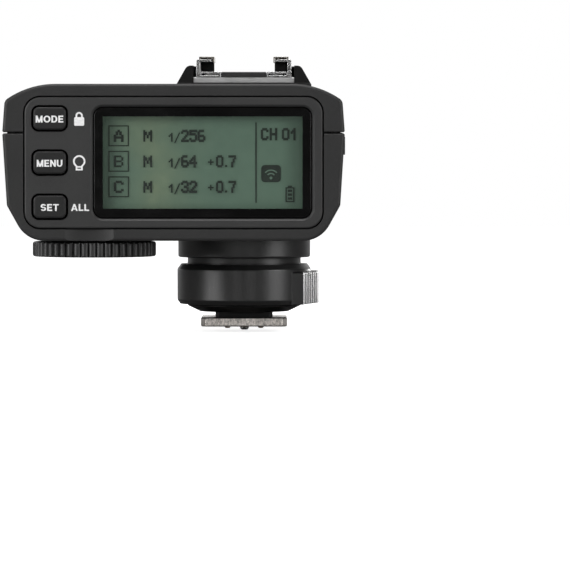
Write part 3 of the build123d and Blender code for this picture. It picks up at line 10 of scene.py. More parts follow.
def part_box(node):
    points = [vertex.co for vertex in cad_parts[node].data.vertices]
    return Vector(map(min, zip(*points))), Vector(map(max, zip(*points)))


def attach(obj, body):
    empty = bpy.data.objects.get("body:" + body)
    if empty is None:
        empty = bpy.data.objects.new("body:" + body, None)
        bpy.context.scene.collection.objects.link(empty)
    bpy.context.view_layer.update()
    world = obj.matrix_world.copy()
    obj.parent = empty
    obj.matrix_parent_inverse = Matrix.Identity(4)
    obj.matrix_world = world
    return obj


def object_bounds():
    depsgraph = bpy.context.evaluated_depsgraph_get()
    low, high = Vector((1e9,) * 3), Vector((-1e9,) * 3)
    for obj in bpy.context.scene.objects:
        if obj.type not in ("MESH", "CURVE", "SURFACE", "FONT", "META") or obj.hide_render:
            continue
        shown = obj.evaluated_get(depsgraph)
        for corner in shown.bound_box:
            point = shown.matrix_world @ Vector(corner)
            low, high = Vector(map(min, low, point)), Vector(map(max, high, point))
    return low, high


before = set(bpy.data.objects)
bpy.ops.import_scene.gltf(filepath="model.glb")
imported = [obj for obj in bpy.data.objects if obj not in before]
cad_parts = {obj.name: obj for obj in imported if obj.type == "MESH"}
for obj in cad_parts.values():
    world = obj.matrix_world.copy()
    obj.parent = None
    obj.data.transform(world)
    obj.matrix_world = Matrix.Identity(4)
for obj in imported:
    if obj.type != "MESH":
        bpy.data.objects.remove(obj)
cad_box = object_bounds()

# The wireless flash trigger's looks: a finish for every CAD node, and the printed legends, the
# display's page and the leaf springs that the CAD leaves out. Everything is in metres, in the CAD's
# own frame: +Z is up, the control panel faces -Y and +X is on its right.

MM = 0.001
PRINT_LIFT = 0.012 * MM  # how far printed ink stands off the surface under it
INK_T = 0.02 * MM
LAYER = 0.0005 * MM  # overlapping strokes differ by this much, so that no two faces coincide


# ---------------------------------------------------------------- node tree helpers
class Shader:
    """One material's node tree, with short calls for the nodes that the finishes share."""

    def __init__(self, name):
        self.material = bpy.data.materials.new(name)
        self.material.use_nodes = True
        self.tree = self.material.node_tree
        self.tree.nodes.clear()
        self.place = self.node("ShaderNodeTexCoord").outputs["Object"]

    def node(self, kind, inputs=None, **settings):
        made = self.tree.nodes.new(kind)
        for key, value in settings.items():
            setattr(made, key, value)
        for key, value in (inputs or {}).items():
            self.feed(made.inputs[key], value)
        return made

    def feed(self, socket, value):
        if isinstance(value, bpy.types.NodeSocket):
            self.tree.links.new(value, socket)
        else:
            socket.default_value = value

    def stretched(self, scale):
        """Object coordinates multiplied by scale, one factor per axis."""
        return self.node("ShaderNodeMapping", {"Vector": self.place, "Scale": scale}).outputs[0]

    def noise(self, scale, detail=2.0, roughness=0.5, vector=None):
        inputs = {"Vector": vector or self.place, "Scale": scale, "Detail": detail, "Roughness": roughness}
        return self.node("ShaderNodeTexNoise", inputs).outputs["Fac"]

    def voronoi(self, scale):
        inputs = {"Vector": self.place, "Scale": scale}
        return self.node("ShaderNodeTexVoronoi", inputs, feature="F1").outputs["Distance"]

    def waves(self, axis, pitch):
        """A sine wave along one axis, from -1 to 1."""
        return self.math("SINE", self.math("MULTIPLY", self.axis_value(axis), 2 * math.pi / pitch))

    def math(self, operation, a, b=0.0, clamp=False):
        made = self.node("ShaderNodeMath", operation=operation, use_clamp=clamp)
        self.feed(made.inputs[0], a)
        self.feed(made.inputs[1], b)
        return made.outputs[0]

    def remap(self, value, low, high, to_low=0.0, to_high=1.0):
        inputs = {"Value": value, "From Min": low, "From Max": high, "To Min": to_low, "To Max": to_high}
        return self.node("ShaderNodeMapRange", inputs).outputs["Result"]

    def mix(self, factor, a, b):
        """Blends two colours."""
        made = self.node("ShaderNodeMix", data_type="RGBA")
        self.feed(made.inputs[0], factor)
        self.feed(made.inputs[6], a)
        self.feed(made.inputs[7], b)
        return made.outputs[2]

    def axis_value(self, axis):
        return self.node("ShaderNodeSeparateXYZ", {"Vector": self.place}).outputs[axis]

    def rounded(self, radius):
        """The surface normal with every edge rounded off by radius."""
        return self.node("ShaderNodeBevel", {"Radius": radius}, samples=4).outputs["Normal"]

    def edges(self, radius):
        """About 1 on the outer and inner edges, 0 elsewhere."""
        flat = self.node("ShaderNodeNewGeometry").outputs["Normal"]
        dot = self.node("ShaderNodeVectorMath", operation="DOT_PRODUCT")
        self.feed(dot.inputs[0], self.rounded(radius))
        self.feed(dot.inputs[1], flat)
        return self.remap(dot.outputs["Value"], 0.995, 0.85)

    def cut_ends(self):
        """1 on faces that look to the rear or the front, 0 on the others."""
        normal = self.node("ShaderNodeNewGeometry").outputs["Normal"]
        facing = self.node("ShaderNodeSeparateXYZ", {"Vector": normal}).outputs["Y"]
        return self.remap(self.math("ABSOLUTE", facing), 0.75, 0.95)

    def crevices(self, reach):
        """A mask for painted shade: about 0 deep in gaps and corners, 1 in the open."""
        inputs = {"Distance": reach}
        open_air = self.node("ShaderNodeAmbientOcclusion", inputs, samples=6).outputs["AO"]
        return self.remap(open_air, 0.1, 0.75)

    def bump(self, height, depth, normal=None):
        inputs = {"Height": height, "Distance": depth}
        if normal is not None:
            inputs["Normal"] = normal
        return self.node("ShaderNodeBump", inputs).outputs["Normal"]

    def surface(self, **inputs):
        """A Principled shader; input names use underscores for spaces."""
        named = {key.replace("_", " "): value for key, value in inputs.items()}
        return self.node("ShaderNodeBsdfPrincipled", named).outputs[0]

    def finish(self, shader):
        self.node("ShaderNodeOutputMaterial", {"Surface": shader})
        return self.material


def grey(level, warmth=0.0):
    """A near-neutral linear colour."""
    return (level * (1 + warmth), level, level * (1 - warmth), 1.0)


def scaled(color, factor):
    return tuple(channel * factor for channel in color[:3]) + (1.0,)


# ---------------------------------------------------------------- finishes
GAP_REACH = 0.9 * MM  # painted shade: gaps narrower than about this are darkened and shine less
SHADE_SHARE, SHADE_FADE = 0.4, 0.5 * MM  # painted shade: what share of colour and sheen a plastic keeps in its shaded zone, and the zone's soft edge


def moulded_plastic(
    name,
    color,
    roughness,
    grain=3400,
    depth=0.012 * MM,
    edge=0.14 * MM,
    specular=0.5,
    wear=1.0,
    reach=GAP_REACH,
    painted_shade_above=None,
):
    """Textured injection-moulded plastic: fine grain, faint cloudiness, edges rubbed smoother.

    Grain is the texture's scale and depth its height; edge is the radius that corners look
    rounded by; wear is how far they are rubbed, and reach how wide a gap still gets painted shade.
    Above the height that the last argument gives, where one is given, shade is painted on: it is made darker
    and shines less.
    """
    s = Shader(name)
    fine = s.noise(grain, detail=3, roughness=0.65)
    pits = s.voronoi(grain * 0.8)
    clouds = s.noise(70, detail=4)
    patchy = s.remap(s.noise(420, detail=3), 0.35, 0.7, 0.0, wear)
    rubbed = s.math("MULTIPLY", s.edges(edge), patchy, clamp=True)
    tint = s.mix(s.remap(clouds, 0.3, 0.7), scaled(color, 0.86), scaled(color, 1.16))
    tint = s.mix(s.remap(fine, 0.42, 0.75, 0.0, 0.35), tint, scaled(color, 1.8))
    tint = s.mix(s.math("MULTIPLY", rubbed, 0.55), tint, scaled(color, 2.1))
    # Painted shade: gaps and corners are darkened in colour, and below they also shine less.
    deep = s.crevices(reach)
    tint = s.mix(deep, scaled(color, 0.12), tint)
    rough = s.remap(fine, 0.3, 0.7, roughness - 0.05, roughness + 0.07)
    rough = s.math("SUBTRACT", rough, s.math("MULTIPLY", rubbed, 0.14))
    height = s.math("ADD", fine, s.math("MULTIPLY", pits, 0.45))
    normal = s.bump(height, depth, normal=s.rounded(edge))
    shine = s.math("MULTIPLY", deep, specular)
    if painted_shade_above is not None:
        # Painted shade on everything above that height.
        low = s.remap(s.axis_value("Z"), painted_shade_above, painted_shade_above + SHADE_FADE, 1.0, SHADE_SHARE)
        tint = s.mix(low, grey(0.0), tint)
        shine = s.math("MULTIPLY", low, shine)
    shader = s.surface(Base_Color=tint, Roughness=rough, Normal=normal, Specular_IOR_Level=shine)
    return s.finish(shader)


def polished_plastic(name, color, roughness=0.12, edge=0.1 * MM):
    """Glossy moulding with faint ripple, hairline scratches and dust in its sheen."""
    s = Shader(name)
    ripple = s.noise(160, detail=1)
    hairs = s.noise(900, detail=2, vector=s.stretched((1, 14, 14)))
    dust = s.remap(s.noise(1500, detail=2), 0.62, 0.75)
    scratched = s.remap(hairs, 0.4, 0.7, roughness, roughness + 0.05)
    rough = s.math("ADD", scratched, s.math("MULTIPLY", dust, 0.12))
    tint = s.mix(s.remap(ripple, 0.3, 0.7), scaled(color, 0.9), scaled(color, 1.12))
    normal = s.bump(ripple, 0.01 * MM, normal=s.rounded(edge))
    shader = s.surface(Base_Color=tint, Roughness=rough, Normal=normal, Coat_Weight=0.3, Coat_Roughness=0.05)
    return s.finish(shader)


def brushed_metal(
    name, color, roughness, along=(1, 0.06, 1), edge=0.08 * MM, depth=0.004 * MM, dents=0.0, cut_ends=1.0
):
    """Metal with fine lines along one axis, small stains and bright edges.

    Dents is the depth of shallow dents, and cut_ends the brightness of its rear and front ends.
    """
    s = Shader(name)
    lines = s.noise(5200, detail=3, vector=s.stretched(along))
    stains = s.noise(240, detail=4)
    bright = s.edges(edge)
    tint = s.mix(s.remap(stains, 0.35, 0.7), scaled(color, 0.84), color)
    tint = s.mix(s.remap(lines, 0.4, 0.7, 0.0, 0.4), tint, scaled(color, 0.68))
    if cut_ends < 1:
        tint = s.mix(s.cut_ends(), tint, scaled(color, cut_ends))
    tint = s.mix(s.math("MULTIPLY", bright, 0.5), tint, grey(0.85))
    rough = s.remap(lines, 0.3, 0.7, roughness - 0.04, roughness + 0.1)
    normal = s.rounded(edge)
    if dents:
        normal = s.bump(s.noise(420, detail=2), dents, normal=normal)
    normal = s.bump(lines, depth, normal=normal)
    return s.finish(s.surface(Base_Color=tint, Metallic=1.0, Roughness=rough, Normal=normal))


def cast_metal(name, color, roughness=0.42):
    """Satin-plated die casting: soft mottling and a fine blasted grain."""
    s = Shader(name)
    blasted = s.noise(5000, detail=3, roughness=0.7)
    mottled = s.noise(300, detail=3)
    tint = s.mix(s.remap(mottled, 0.3, 0.7), scaled(color, 0.86), scaled(color, 1.06))
    rough = s.remap(blasted, 0.3, 0.7, roughness - 0.06, roughness + 0.1)
    normal = s.bump(blasted, 0.008 * MM, normal=s.rounded(0.1 * MM))
    return s.finish(s.surface(Base_Color=tint, Metallic=0.85, Roughness=rough, Normal=normal))


def sheared_plate(name, color):
    """The foot's plated sheet: smooth faces, and coarse torn grain on its rear and front edges."""
    s = Shader(name)
    on_edge = s.cut_ends()
    torn = s.noise(2300, detail=5, roughness=0.75, vector=s.stretched((1, 1, 0.55)))
    smooth = s.noise(5200, detail=2, vector=s.stretched((1, 0.06, 1)))
    pale = s.mix(s.remap(torn, 0.38, 0.62), scaled(color, 0.42), scaled(color, 1.12))
    plain = s.mix(s.remap(smooth, 0.4, 0.7), color, scaled(color, 0.8))
    tint = s.mix(on_edge, plain, pale)
    rough = s.math("ADD", s.math("MULTIPLY", on_edge, 0.22), 0.24)
    height = s.math("ADD", s.math("MULTIPLY", torn, on_edge), s.math("MULTIPLY", smooth, 0.08))
    normal = s.bump(height, 0.06 * MM, normal=s.rounded(0.12 * MM))
    return s.finish(s.surface(Base_Color=tint, Metallic=1.0, Roughness=rough, Normal=normal))


def display_cover(name, window, border):
    """The display's window: a glossy black printed border around clear plastic."""
    low, high = window
    s = Shader(name)
    outside = []
    for index, axis in ((0, "X"), (2, "Z")):
        half = (high[index] - low[index]) / 2 - border
        off_middle = s.math("SUBTRACT", s.axis_value(axis), (high[index] + low[index]) / 2)
        outside.append(s.math("GREATER_THAN", s.math("ABSOLUTE", off_middle), half))
    printed = s.math("MAXIMUM", *outside)
    smear = s.noise(120, detail=3, vector=s.stretched((1, 1, 2.4)))
    rough = s.remap(smear, 0.35, 0.7, 0.05, 0.13)
    normal = s.bump(smear, 0.004 * MM, normal=s.rounded(0.1 * MM))
    ink = s.mix(smear, grey(0.002), grey(0.004))
    black = s.surface(Base_Color=ink, Roughness=rough, Normal=normal, Specular_IOR_Level=0.3)
    through = s.node("ShaderNodeBsdfTransparent", {"Color": (0.93, 0.95, 0.94, 1)}).outputs[0]
    gloss = s.node("ShaderNodeBsdfGlossy", {"Roughness": rough, "Normal": normal}).outputs[0]
    sheen = s.node("ShaderNodeFresnel", {"IOR": 1.35, "Normal": normal}).outputs[0]
    # From behind it has no sheen, so that light from the display gets out at every angle.
    behind = s.node("ShaderNodeNewGeometry").outputs["Backfacing"]
    sheen = s.math("MULTIPLY", sheen, s.math("SUBTRACT", 1.0, behind))
    clear = s.node("ShaderNodeMixShader", {0: sheen, 1: through, 2: gloss}).outputs[0]
    return s.finish(s.node("ShaderNodeMixShader", {0: printed, 1: clear, 2: black}).outputs[0])


def reflective_lcd(name, lcd):
    """A grey-green reflective display: cloudy tint, painted shade along its edges, faint grid of dots, and a
    faint painted glow.
    """
    low, high = lcd
    s = Shader(name)
    across = s.remap(s.axis_value("X"), low.x, high.x)
    up = s.remap(s.axis_value("Z"), low.z, high.z)
    off_warm = s.math("ABSOLUTE", s.math("SUBTRACT", across, WARM_ACROSS))
    warm = s.math("SUBTRACT", 1.0, s.math("MULTIPLY", off_warm, WARM_FADE), clamp=True)
    warm = s.math("MULTIPLY", warm, s.remap(s.noise(70, detail=2), 0.25, 0.65))
    tint = s.mix(warm, LCD_TEAL, LCD_OLIVE)
    tint = s.mix(s.remap(s.noise(420, detail=4), 0.3, 0.7, 0.0, 0.35), tint, scaled(LCD_TEAL, 0.78))
    # Painted shade, darkest along the display's edges, where the window's recess shades it.
    rim_shade = []
    for value in (across, up):
        off_middle = s.math("ABSOLUTE", s.math("SUBTRACT", value, 0.5))
        rim_shade.append(s.remap(off_middle, 0.37, 0.485))
    tint = s.mix(s.math("MULTIPLY", s.math("MAXIMUM", *rim_shade), 0.46), tint, scaled(LCD_TEAL, 0.3))
    grid = s.math("MULTIPLY", s.waves("X", LCD_DOT), s.waves("Z", LCD_DOT))
    tint = s.mix(s.remap(grid, -1, 1, 0.0, 0.12), tint, scaled(LCD_TEAL, 0.5))
    normal = s.bump(grid, 0.002 * MM)
    # Painted light: the display glows a little, in place of the lamplight that its recess keeps off it.
    glow = {"Emission_Color": tint, "Emission_Strength": LCD_PAINTED_GLOW}
    return s.finish(s.surface(Base_Color=tint, Roughness=0.45, Normal=normal, **glow))


def liquid_crystal(name, color):
    """Darkened display segments, slightly uneven in density."""
    s = Shader(name)
    uneven = s.noise(600, detail=3)
    tint = s.mix(s.remap(uneven, 0.3, 0.7), color, scaled(color, 1.7))
    return s.finish(s.surface(Base_Color=tint, Roughness=0.5))


def printed_ink(name, color):
    """Screen-printed ink: a little uneven, with worn specks."""
    s = Shader(name)
    uneven = s.noise(2600, detail=3)
    tint = s.mix(s.remap(uneven, 0.35, 0.7), scaled(color, 0.82), color)
    normal = s.bump(uneven, 0.006 * MM)
    return s.finish(s.surface(Base_Color=tint, Roughness=0.45, Normal=normal))


def circuit_board(name, color):
    """Solder mask over copper tracks, with scattered pads."""
    s = Shader(name)
    inputs = {"Vector": s.stretched((900, 900, 900)), "Scale": 1.0, "Mortar Size": 0.06}
    tracks = s.node("ShaderNodeTexBrick", inputs).outputs["Fac"]
    pads = s.remap(s.voronoi(700), 0.2, 0.16)
    tint = s.mix(s.math("MULTIPLY", tracks, 0.6), color, scaled(color, 2.0))
    tint = s.mix(pads, tint, (0.62, 0.5, 0.24, 1))
    normal = s.bump(tracks, 0.02 * MM)
    metallic = s.math("MULTIPLY", pads, 0.9)
    return s.finish(s.surface(Base_Color=tint, Roughness=0.3, Metallic=metallic, Normal=normal))


def cell_wrapper(name, cell):
    """A battery's shrink wrap: a plain band and a plain body between bare metal ends."""
    low, high = cell
    s = Shader(name)
    along = s.remap(s.axis_value("X"), low.x, high.x)
    off_middle = s.math("ABSOLUTE", s.math("SUBTRACT", along, 0.5))
    bare = s.math("GREATER_THAN", off_middle, 0.482)
    band = s.math("LESS_THAN", off_middle, 0.19)
    creases = s.noise(240, detail=3, vector=s.stretched((0.5, 1, 1)))
    tint = s.mix(band, (0.035, 0.04, 0.045, 1), (0.05, 0.22, 0.24, 1))
    tint = s.mix(s.remap(creases, 0.4, 0.7, 0.0, 0.3), tint, grey(0.12))
    tint = s.mix(bare, tint, grey(0.6))
    normal = s.bump(creases, 0.02 * MM)
    rough = s.math("ADD", 0.22, s.math("MULTIPLY", creases, 0.14))
    return s.finish(s.surface(Base_Color=tint, Metallic=bare, Roughness=rough, Normal=normal))


def lamp_lens(name):
    """Dark red window with rows of small prisms pressed in its face, and painted shade across each prism."""
    s = Shader(name)
    prisms = s.math("MULTIPLY", s.waves("Z", PRISM_PITCH), s.waves("X", PRISM_PITCH))
    haze = s.noise(90, detail=2)
    red = s.mix(s.remap(haze, 0.3, 0.7), (0.15, 0.005, 0.005, 1), (0.2, 0.008, 0.006, 1))
    # Painted shade: each prism's colour runs from near black to red, as well as its bump.
    tint = s.mix(s.remap(prisms, -0.8, 0.8), (0.05, 0.002, 0.003, 1), red)
    normal = s.bump(prisms, 0.12 * MM)
    shader = s.surface(Base_Color=tint, Roughness=0.22, Normal=normal, Coat_Weight=0.6, Coat_Roughness=0.08)
    return s.finish(shader)


def diffuser(name, color):
    """Milky plastic or clear resin: soft, faintly cloudy."""
    s = Shader(name)
    cloudy = s.noise(300, detail=3)
    tint = s.mix(s.remap(cloudy, 0.3, 0.7), scaled(color, 0.9), color)
    normal = s.bump(cloudy, 0.01 * MM)
    return s.finish(s.surface(Base_Color=tint, Roughness=0.35, Subsurface_Weight=0.2, Normal=normal))


# ---------------------------------------------------------------- palette, one entry per finish
LCD_TEAL = (0.098, 0.151, 0.113, 1)
LCD_OLIVE = (0.168, 0.202, 0.13, 1)
LCD_DOT = 0.2 * MM
# painted light: how brightly the display glows
LCD_PAINTED_GLOW = 0.12
WARM_ACROSS, WARM_FADE = 0.27, 3.4  # where the display is most olive, and how fast that fades
PRISM_PITCH = 2.2 * MM
WINDOW_BORDER = 1.9 * MM  # how wide the black print is around the window's clear part

EAR_RISE = 5.2 * MM  # how far the ears beside the shoe stand above the roof
roof_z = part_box("top_cover")[1].z - EAR_RISE

finishes = {
    # The ears beside the shoe, above the roof, get painted shade.
    "casing": moulded_plastic("casing_plastic", grey(0.016), 0.5, specular=0.35, painted_shade_above=roof_z),
    "panel": moulded_plastic("panel_plastic", grey(0.021), 0.48, grain=3900, depth=0.009 * MM, specular=0.4),
    "key": moulded_plastic(
        "key_plastic",
        grey(0.013),
        0.42,
        grain=5200,
        depth=0.004 * MM,
        edge=0.2 * MM,
        specular=0.25,
        wear=0.0,
        # A wide reach paints shade over the keys' rims beside their gaps.
        reach=1.5 * MM,
    ),
    "dial": moulded_plastic(
        "dial_plastic", grey(0.012), 0.36, grain=5200, depth=0.004 * MM, edge=0.12 * MM, specular=0.4
    ),
    "collar": moulded_plastic("collar_plastic", grey(0.007), 0.36, grain=4600, depth=0.004 * MM),
    "ring": moulded_plastic(
        "ring_plastic", grey(0.009), 0.32, grain=4600, depth=0.004 * MM, edge=0.2 * MM, reach=0.25 * MM
    ),
    "housing": moulded_plastic(
        "housing_plastic", grey(0.003), 0.45, grain=4600, depth=0.004 * MM, specular=0.15
    ),
    "inner": moulded_plastic("inner_plastic", grey(0.02), 0.55),
    "block": moulded_plastic("block_plastic", grey(0.01), 0.45, grain=4600, depth=0.006 * MM),
    "window": display_cover("display_cover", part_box("display_window"), WINDOW_BORDER),
    "lcd": reflective_lcd("reflective_lcd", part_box("lcd_glass")),
    "segments": liquid_crystal("liquid_crystal", (0.009, 0.013, 0.01, 1)),
    "white_ink": printed_ink("white_ink", grey(0.82)),
    "chrome": brushed_metal("shoe_chrome", grey(0.6), 0.14, edge=0.1 * MM, dents=0.04 * MM),
    "spring": brushed_metal("spring_steel", (0.36, 0.32, 0.27, 1), 0.16, edge=0.06 * MM, cut_ends=0.8),
    "shoe_base": cast_metal("shoe_base_metal", grey(0.5)),
    "foot": sheared_plate("foot_metal", grey(0.74, 0.06)),
    "steel": brushed_metal("screw_steel", grey(0.52), 0.3, along=(1, 1, 0.2)),
    "nickel": brushed_metal("nickel", grey(0.68, 0.03), 0.22, along=(0.2, 1, 1)),
    "gold": brushed_metal("contact_gold", (0.83, 0.6, 0.26, 1), 0.2, along=(1, 1, 0.3)),
    "tin": brushed_metal("tinned_sheet", grey(0.66), 0.28, along=(0.2, 1, 1), depth=0.01 * MM),
    "board": circuit_board("solder_mask", (0.012, 0.07, 0.035, 1)),
    "cell": cell_wrapper("cell_wrapper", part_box("cell_rear")),
    "lamp": lamp_lens("lamp_lens"),
    "backlight": diffuser("backlight_diffuser", grey(0.78)),
    "led": diffuser("led_resin", (0.8, 0.72, 0.62, 1)),
    "socket": polished_plastic("socket_plastic", grey(0.014), 0.3),
}

finish_of_node = {
    "casing": ("top_cover", "bottom_cover", "battery_door"),
    "panel": ("rear_panel",),
    "key": tuple(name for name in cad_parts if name.endswith("_button")),
    "dial": ("select_dial",),
    "collar": ("mount_collar",),
    "housing": ("foot_housing",),
    "ring": ("lock_ring", "power_switch", "lamp_switch"),
    "inner": ("battery_holder", "panel_switches", "top_switches", "switch_bodies"),
    "block": ("foot_contact_block", "shoe_contact_block"),
    "window": ("display_window",),
    "lcd": ("lcd_glass",),
    "chrome": ("shoe_rail_left", "shoe_rail_right"),
    "spring": ("shoe_springs",),
    "shoe_base": ("shoe_base",),
    "foot": ("foot_plate",),
    "steel": ("lock_pin", "battery_door_pin", "foot_screws", "collar_screws", "case_screws", "shoe_screws"),
    "nickel": ("battery_terminals", "battery_door_contact", "usb_port"),
    "gold": ("shoe_center_contact", "shoe_data_contacts")
    + tuple(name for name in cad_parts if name.endswith("contact_pin") or "contact_pin_" in name),
    "tin": ("radio_module", "dial_encoder"),
    "board": ("main_board", "top_board", "side_board"),
    "cell": ("cell_rear", "cell_front"),
    "lamp": ("lamp_window",),
    "backlight": ("display_backlight",),
    "led": ("lamp_led",),
    "socket": ("sync_jack",),
}

SMOOTH_BELOW = math.radians(24)
for finish, names in finish_of_node.items():
    for name in names:
        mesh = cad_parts[name].data
        mesh.materials.clear()
        mesh.materials.append(finishes[finish])
        mesh.shade_smooth()
        mesh.set_sharp_from_angle(angle=SMOOTH_BELOW)


# ---------------------------------------------------------------- building printed details
def middle(node):
    low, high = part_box(node)
    return (low + high) / 2


# Which way a printed detail faces: its own x, its own y, and out of the surface.
REARWARD = (Vector((1, 0, 0)), Vector((0, 0, 1)), Vector((0, -1, 0)))
UPWARD = (Vector((1, 0, 0)), Vector((0, 1, 0)), Vector((0, 0, 1)))
RIGHTWARD = (Vector((0, 1, 0)), Vector((0, 0, 1)), Vector((1, 0, 0)))
LEFTWARD = (Vector((0, -1, 0)), Vector((0, 0, 1)), Vector((-1, 0, 0)))


def object_from(name, build, material, body):
    """A piece whose mesh is whatever build(bm) puts in it."""
    mesh = bpy.data.meshes.new(name)
    bm = bmesh.new()
    build(bm)
    bmesh.ops.recalc_face_normals(bm, faces=bm.faces)
    bm.to_mesh(mesh)
    bm.free()
    mesh.materials.append(material)
    piece = bpy.data.objects.new(name, mesh)
    bpy.context.scene.collection.objects.link(piece)
    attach(piece, body)
    return piece


def add_outline(bm, points, facing, origin, thickness):
    """A thin plate with the outline points, in the plane through origin that facing gives."""
    x_dir, y_dir, out = facing
    front = [bm.verts.new(origin + x_dir * x + y_dir * y + out * thickness) for x, y in points]
    back = [bm.verts.new(origin + x_dir * x + y_dir * y) for x, y in points]
    bm.faces.new(front)
    bm.faces.new(list(reversed(back)))
    for here in range(len(points)):
        after = (here + 1) % len(points)
        bm.faces.new((front[here], back[here], back[after], front[after]))


def in_metres(points):
    return [(x * MM, y * MM) for x, y in points]


def rectangle(left, bottom, right, top):
    return [(left, bottom), (right, bottom), (right, top), (left, top)]


def rounded_rectangle(left, bottom, right, top, radius, steps=5):
    points = []
    corners = ((right, bottom, -90), (right, top, 0), (left, top, 90), (left, bottom, 180))
    for x, y, start in corners:
        cx = x - radius if x == right else x + radius
        cy = y - radius if y == top else y + radius
        for step in range(steps + 1):
            angle = math.radians(start + 90 * step / steps)
            points.append((cx + radius * math.cos(angle), cy + radius * math.sin(angle)))
    return points


def band(points, width):
    """A closed strip, width wide, that follows an open line of points."""
    sides = ([], [])
    for here, (x, y) in enumerate(points):
        before, after = points[max(here - 1, 0)], points[min(here + 1, len(points) - 1)]
        along = Vector((after[0] - before[0], after[1] - before[1])).normalized()
        for side, sign in zip(sides, (1, -1)):
            side.append((x - sign * along.y * width / 2, y + sign * along.x * width / 2))
    return sides[1] + list(reversed(sides[0]))


def arc(cx, cy, radius, start, end, steps=10):
    angles = [math.radians(start + (end - start) * step / steps) for step in range(steps + 1)]
    return [(cx + radius * math.cos(a), cy + radius * math.sin(a)) for a in angles]


def frame_strips(left, bottom, right, top, width):
    """The four strips of a rectangular frame, width wide, inside the given sides."""
    return [
        rectangle(left, bottom, right, bottom + width),
        rectangle(left, top - width, right, top),
        rectangle(left, bottom + width, left + width, top - width),
        rectangle(right - width, bottom + width, right, top - width),
    ]


STEM, BEAM, LETTER_GAP = 0.24, 0.19, 0.13  # of bold capitals, in units of their height


def lean(bottom_x, top_x):
    """A stroke with level ends that runs the full height of a letter."""
    return [(bottom_x, 0.0), (bottom_x + STEM, 0.0), (top_x + STEM, 1.0), (top_x, 1.0)]


def bow(cx, cy, rx, ry, start, end, steps=14):
    """A curved stroke between two ellipses, from one angle to another."""
    turns = [math.radians(start + (end - start) * step / steps) for step in range(steps + 1)]
    outer = [(cx + rx * math.cos(turn), cy + ry * math.sin(turn)) for turn in turns]
    inner = [(cx + (rx - STEM) * math.cos(turn), cy + (ry - BEAM) * math.sin(turn)) for turn in turns]
    return outer + list(reversed(inner))


def post(left):
    return rectangle(left, 0.0, left + STEM, 1.0)


def shelf(right, bottom):
    return rectangle(STEM, bottom, right, bottom + BEAM)


MID = 0.5 - BEAM / 2  # underside of a middle stroke
LOBE_R = (0.5 + BEAM / 2) / 2  # half the height of each lobe of B and S

# Each capital's width and strokes.
CAPITALS = {
    "A": (0.98, [lean(0.0, 0.37), lean(0.74, 0.37), rectangle(0.22, 0.2, 0.76, 0.36)]),
    "B": (0.82, [post(0), shelf(0.5, 0), shelf(0.5, MID), shelf(0.46, 1 - BEAM)]
          + [bow(0.42, 1 - LOBE_R, 0.37, LOBE_R, -90, 90), bow(0.44, LOBE_R, 0.38, LOBE_R, -90, 90)]),
    "C": (0.88, [bow(0.48, 0.5, 0.48, 0.5, 42, 318, 20)]),
    "D": (0.86, [post(0), shelf(0.43, 0), shelf(0.43, 1 - BEAM), bow(0.4, 0.5, 0.46, 0.5, -90, 90)]),
    "E": (0.72, [post(0), shelf(0.72, 0), shelf(0.66, MID), shelf(0.7, 1 - BEAM)]),
    "F": (0.68, [post(0), shelf(0.62, MID), shelf(0.68, 1 - BEAM)]),
    "L": (0.7, [post(0), shelf(0.7, 0)]),
    "M": (0.98, [post(0), post(0.74), lean(0.37, 0.0), lean(0.37, 0.74)]),
    "N": (0.84, [post(0), post(0.6), lean(0.6, 0.0)]),
    "O": (1.0, [bow(0.5, 0.5, 0.5, 0.5, 0, 180, 20), bow(0.5, 0.5, 0.5, 0.5, 180, 360, 20)]),
    "S": (0.8, [bow(0.4, 1 - LOBE_R, 0.4, LOBE_R, 18, 270), bow(0.4, LOBE_R, 0.4, LOBE_R, -162, 90)]),
    "T": (0.8, [rectangle(0, 1 - BEAM, 0.8, 1), rectangle(0.28, 0, 0.52, 1 - BEAM)]),
    "U": (0.84, [rectangle(0, 0.38, STEM, 1), rectangle(0.6, 0.38, 0.84, 1)]
          + [bow(0.42, 0.38, 0.42, 0.38, 180, 360)]),
}


def word_outlines(words, width, height):
    """Bold capitals, centred on the origin and stretched to the given width and height."""
    placed, right = [], 0.0
    for letter in words:
        advance, outlines = CAPITALS[letter]
        placed += [[(right + x, y) for x, y in outline] for outline in outlines]
        right += advance + LETTER_GAP
    right -= LETTER_GAP
    return [[((x / right - 0.5) * width, (y - 0.5) * height) for x, y in outline] for outline in placed]


# Display characters, five dots wide and seven high, row by row from the top.
DOT_FONT = {
    "0": ".###. #...# #...# #...# #...# #...# .###.",
    "1": "..#.. .##.. #.#.. ..#.. ..#.. ..#.. ..#..",
    "2": ".###. #...# ....# ...#. ..#.. .#... #####",
    "3": ".###. #...# ....# ..##. ....# #...# .###.",
    "4": "...#. ..##. .#.#. #..#. ##### ...#. ...#.",
    "5": "##### #.... ####. ....# ....# #...# .###.",
    "6": ".###. #.... #.... ####. #...# #...# .###.",
    "7": "##### ....# ...#. ...#. ..#.. ..#.. ..#..",
    "A": "..#.. .#.#. .#.#. #...# ##### #...# #...#",
    "B": "####. #...# #...# ####. #...# #...# ####.",
    "C": ".###. #...# #.... #.... #.... #...# .###.",
    "H": "#...# #...# #...# ##### #...# #...# #...#",
    "M": "#...# ##.## ##.## #.#.# #.#.# #...# #...#",
}


def dot_outlines(letter, left, base, width, height, spread):
    """One display character; dots in a row that touch are drawn as one bar, grown by spread."""
    step_x, step_y = width / 5, height / 7
    outlines = []
    for row, dots in enumerate(DOT_FONT[letter].split()):
        top = base + height - row * step_y
        column = 0
        for lit, run in itertools.groupby(dots):
            length = len(list(run))
            if lit == "#":
                start, end = left + column * step_x, left + (column + length) * step_x
                bar = rectangle(start - spread, top - step_y - spread, end + spread, top + spread)
                outlines.append(bar)
            column += length
    return outlines


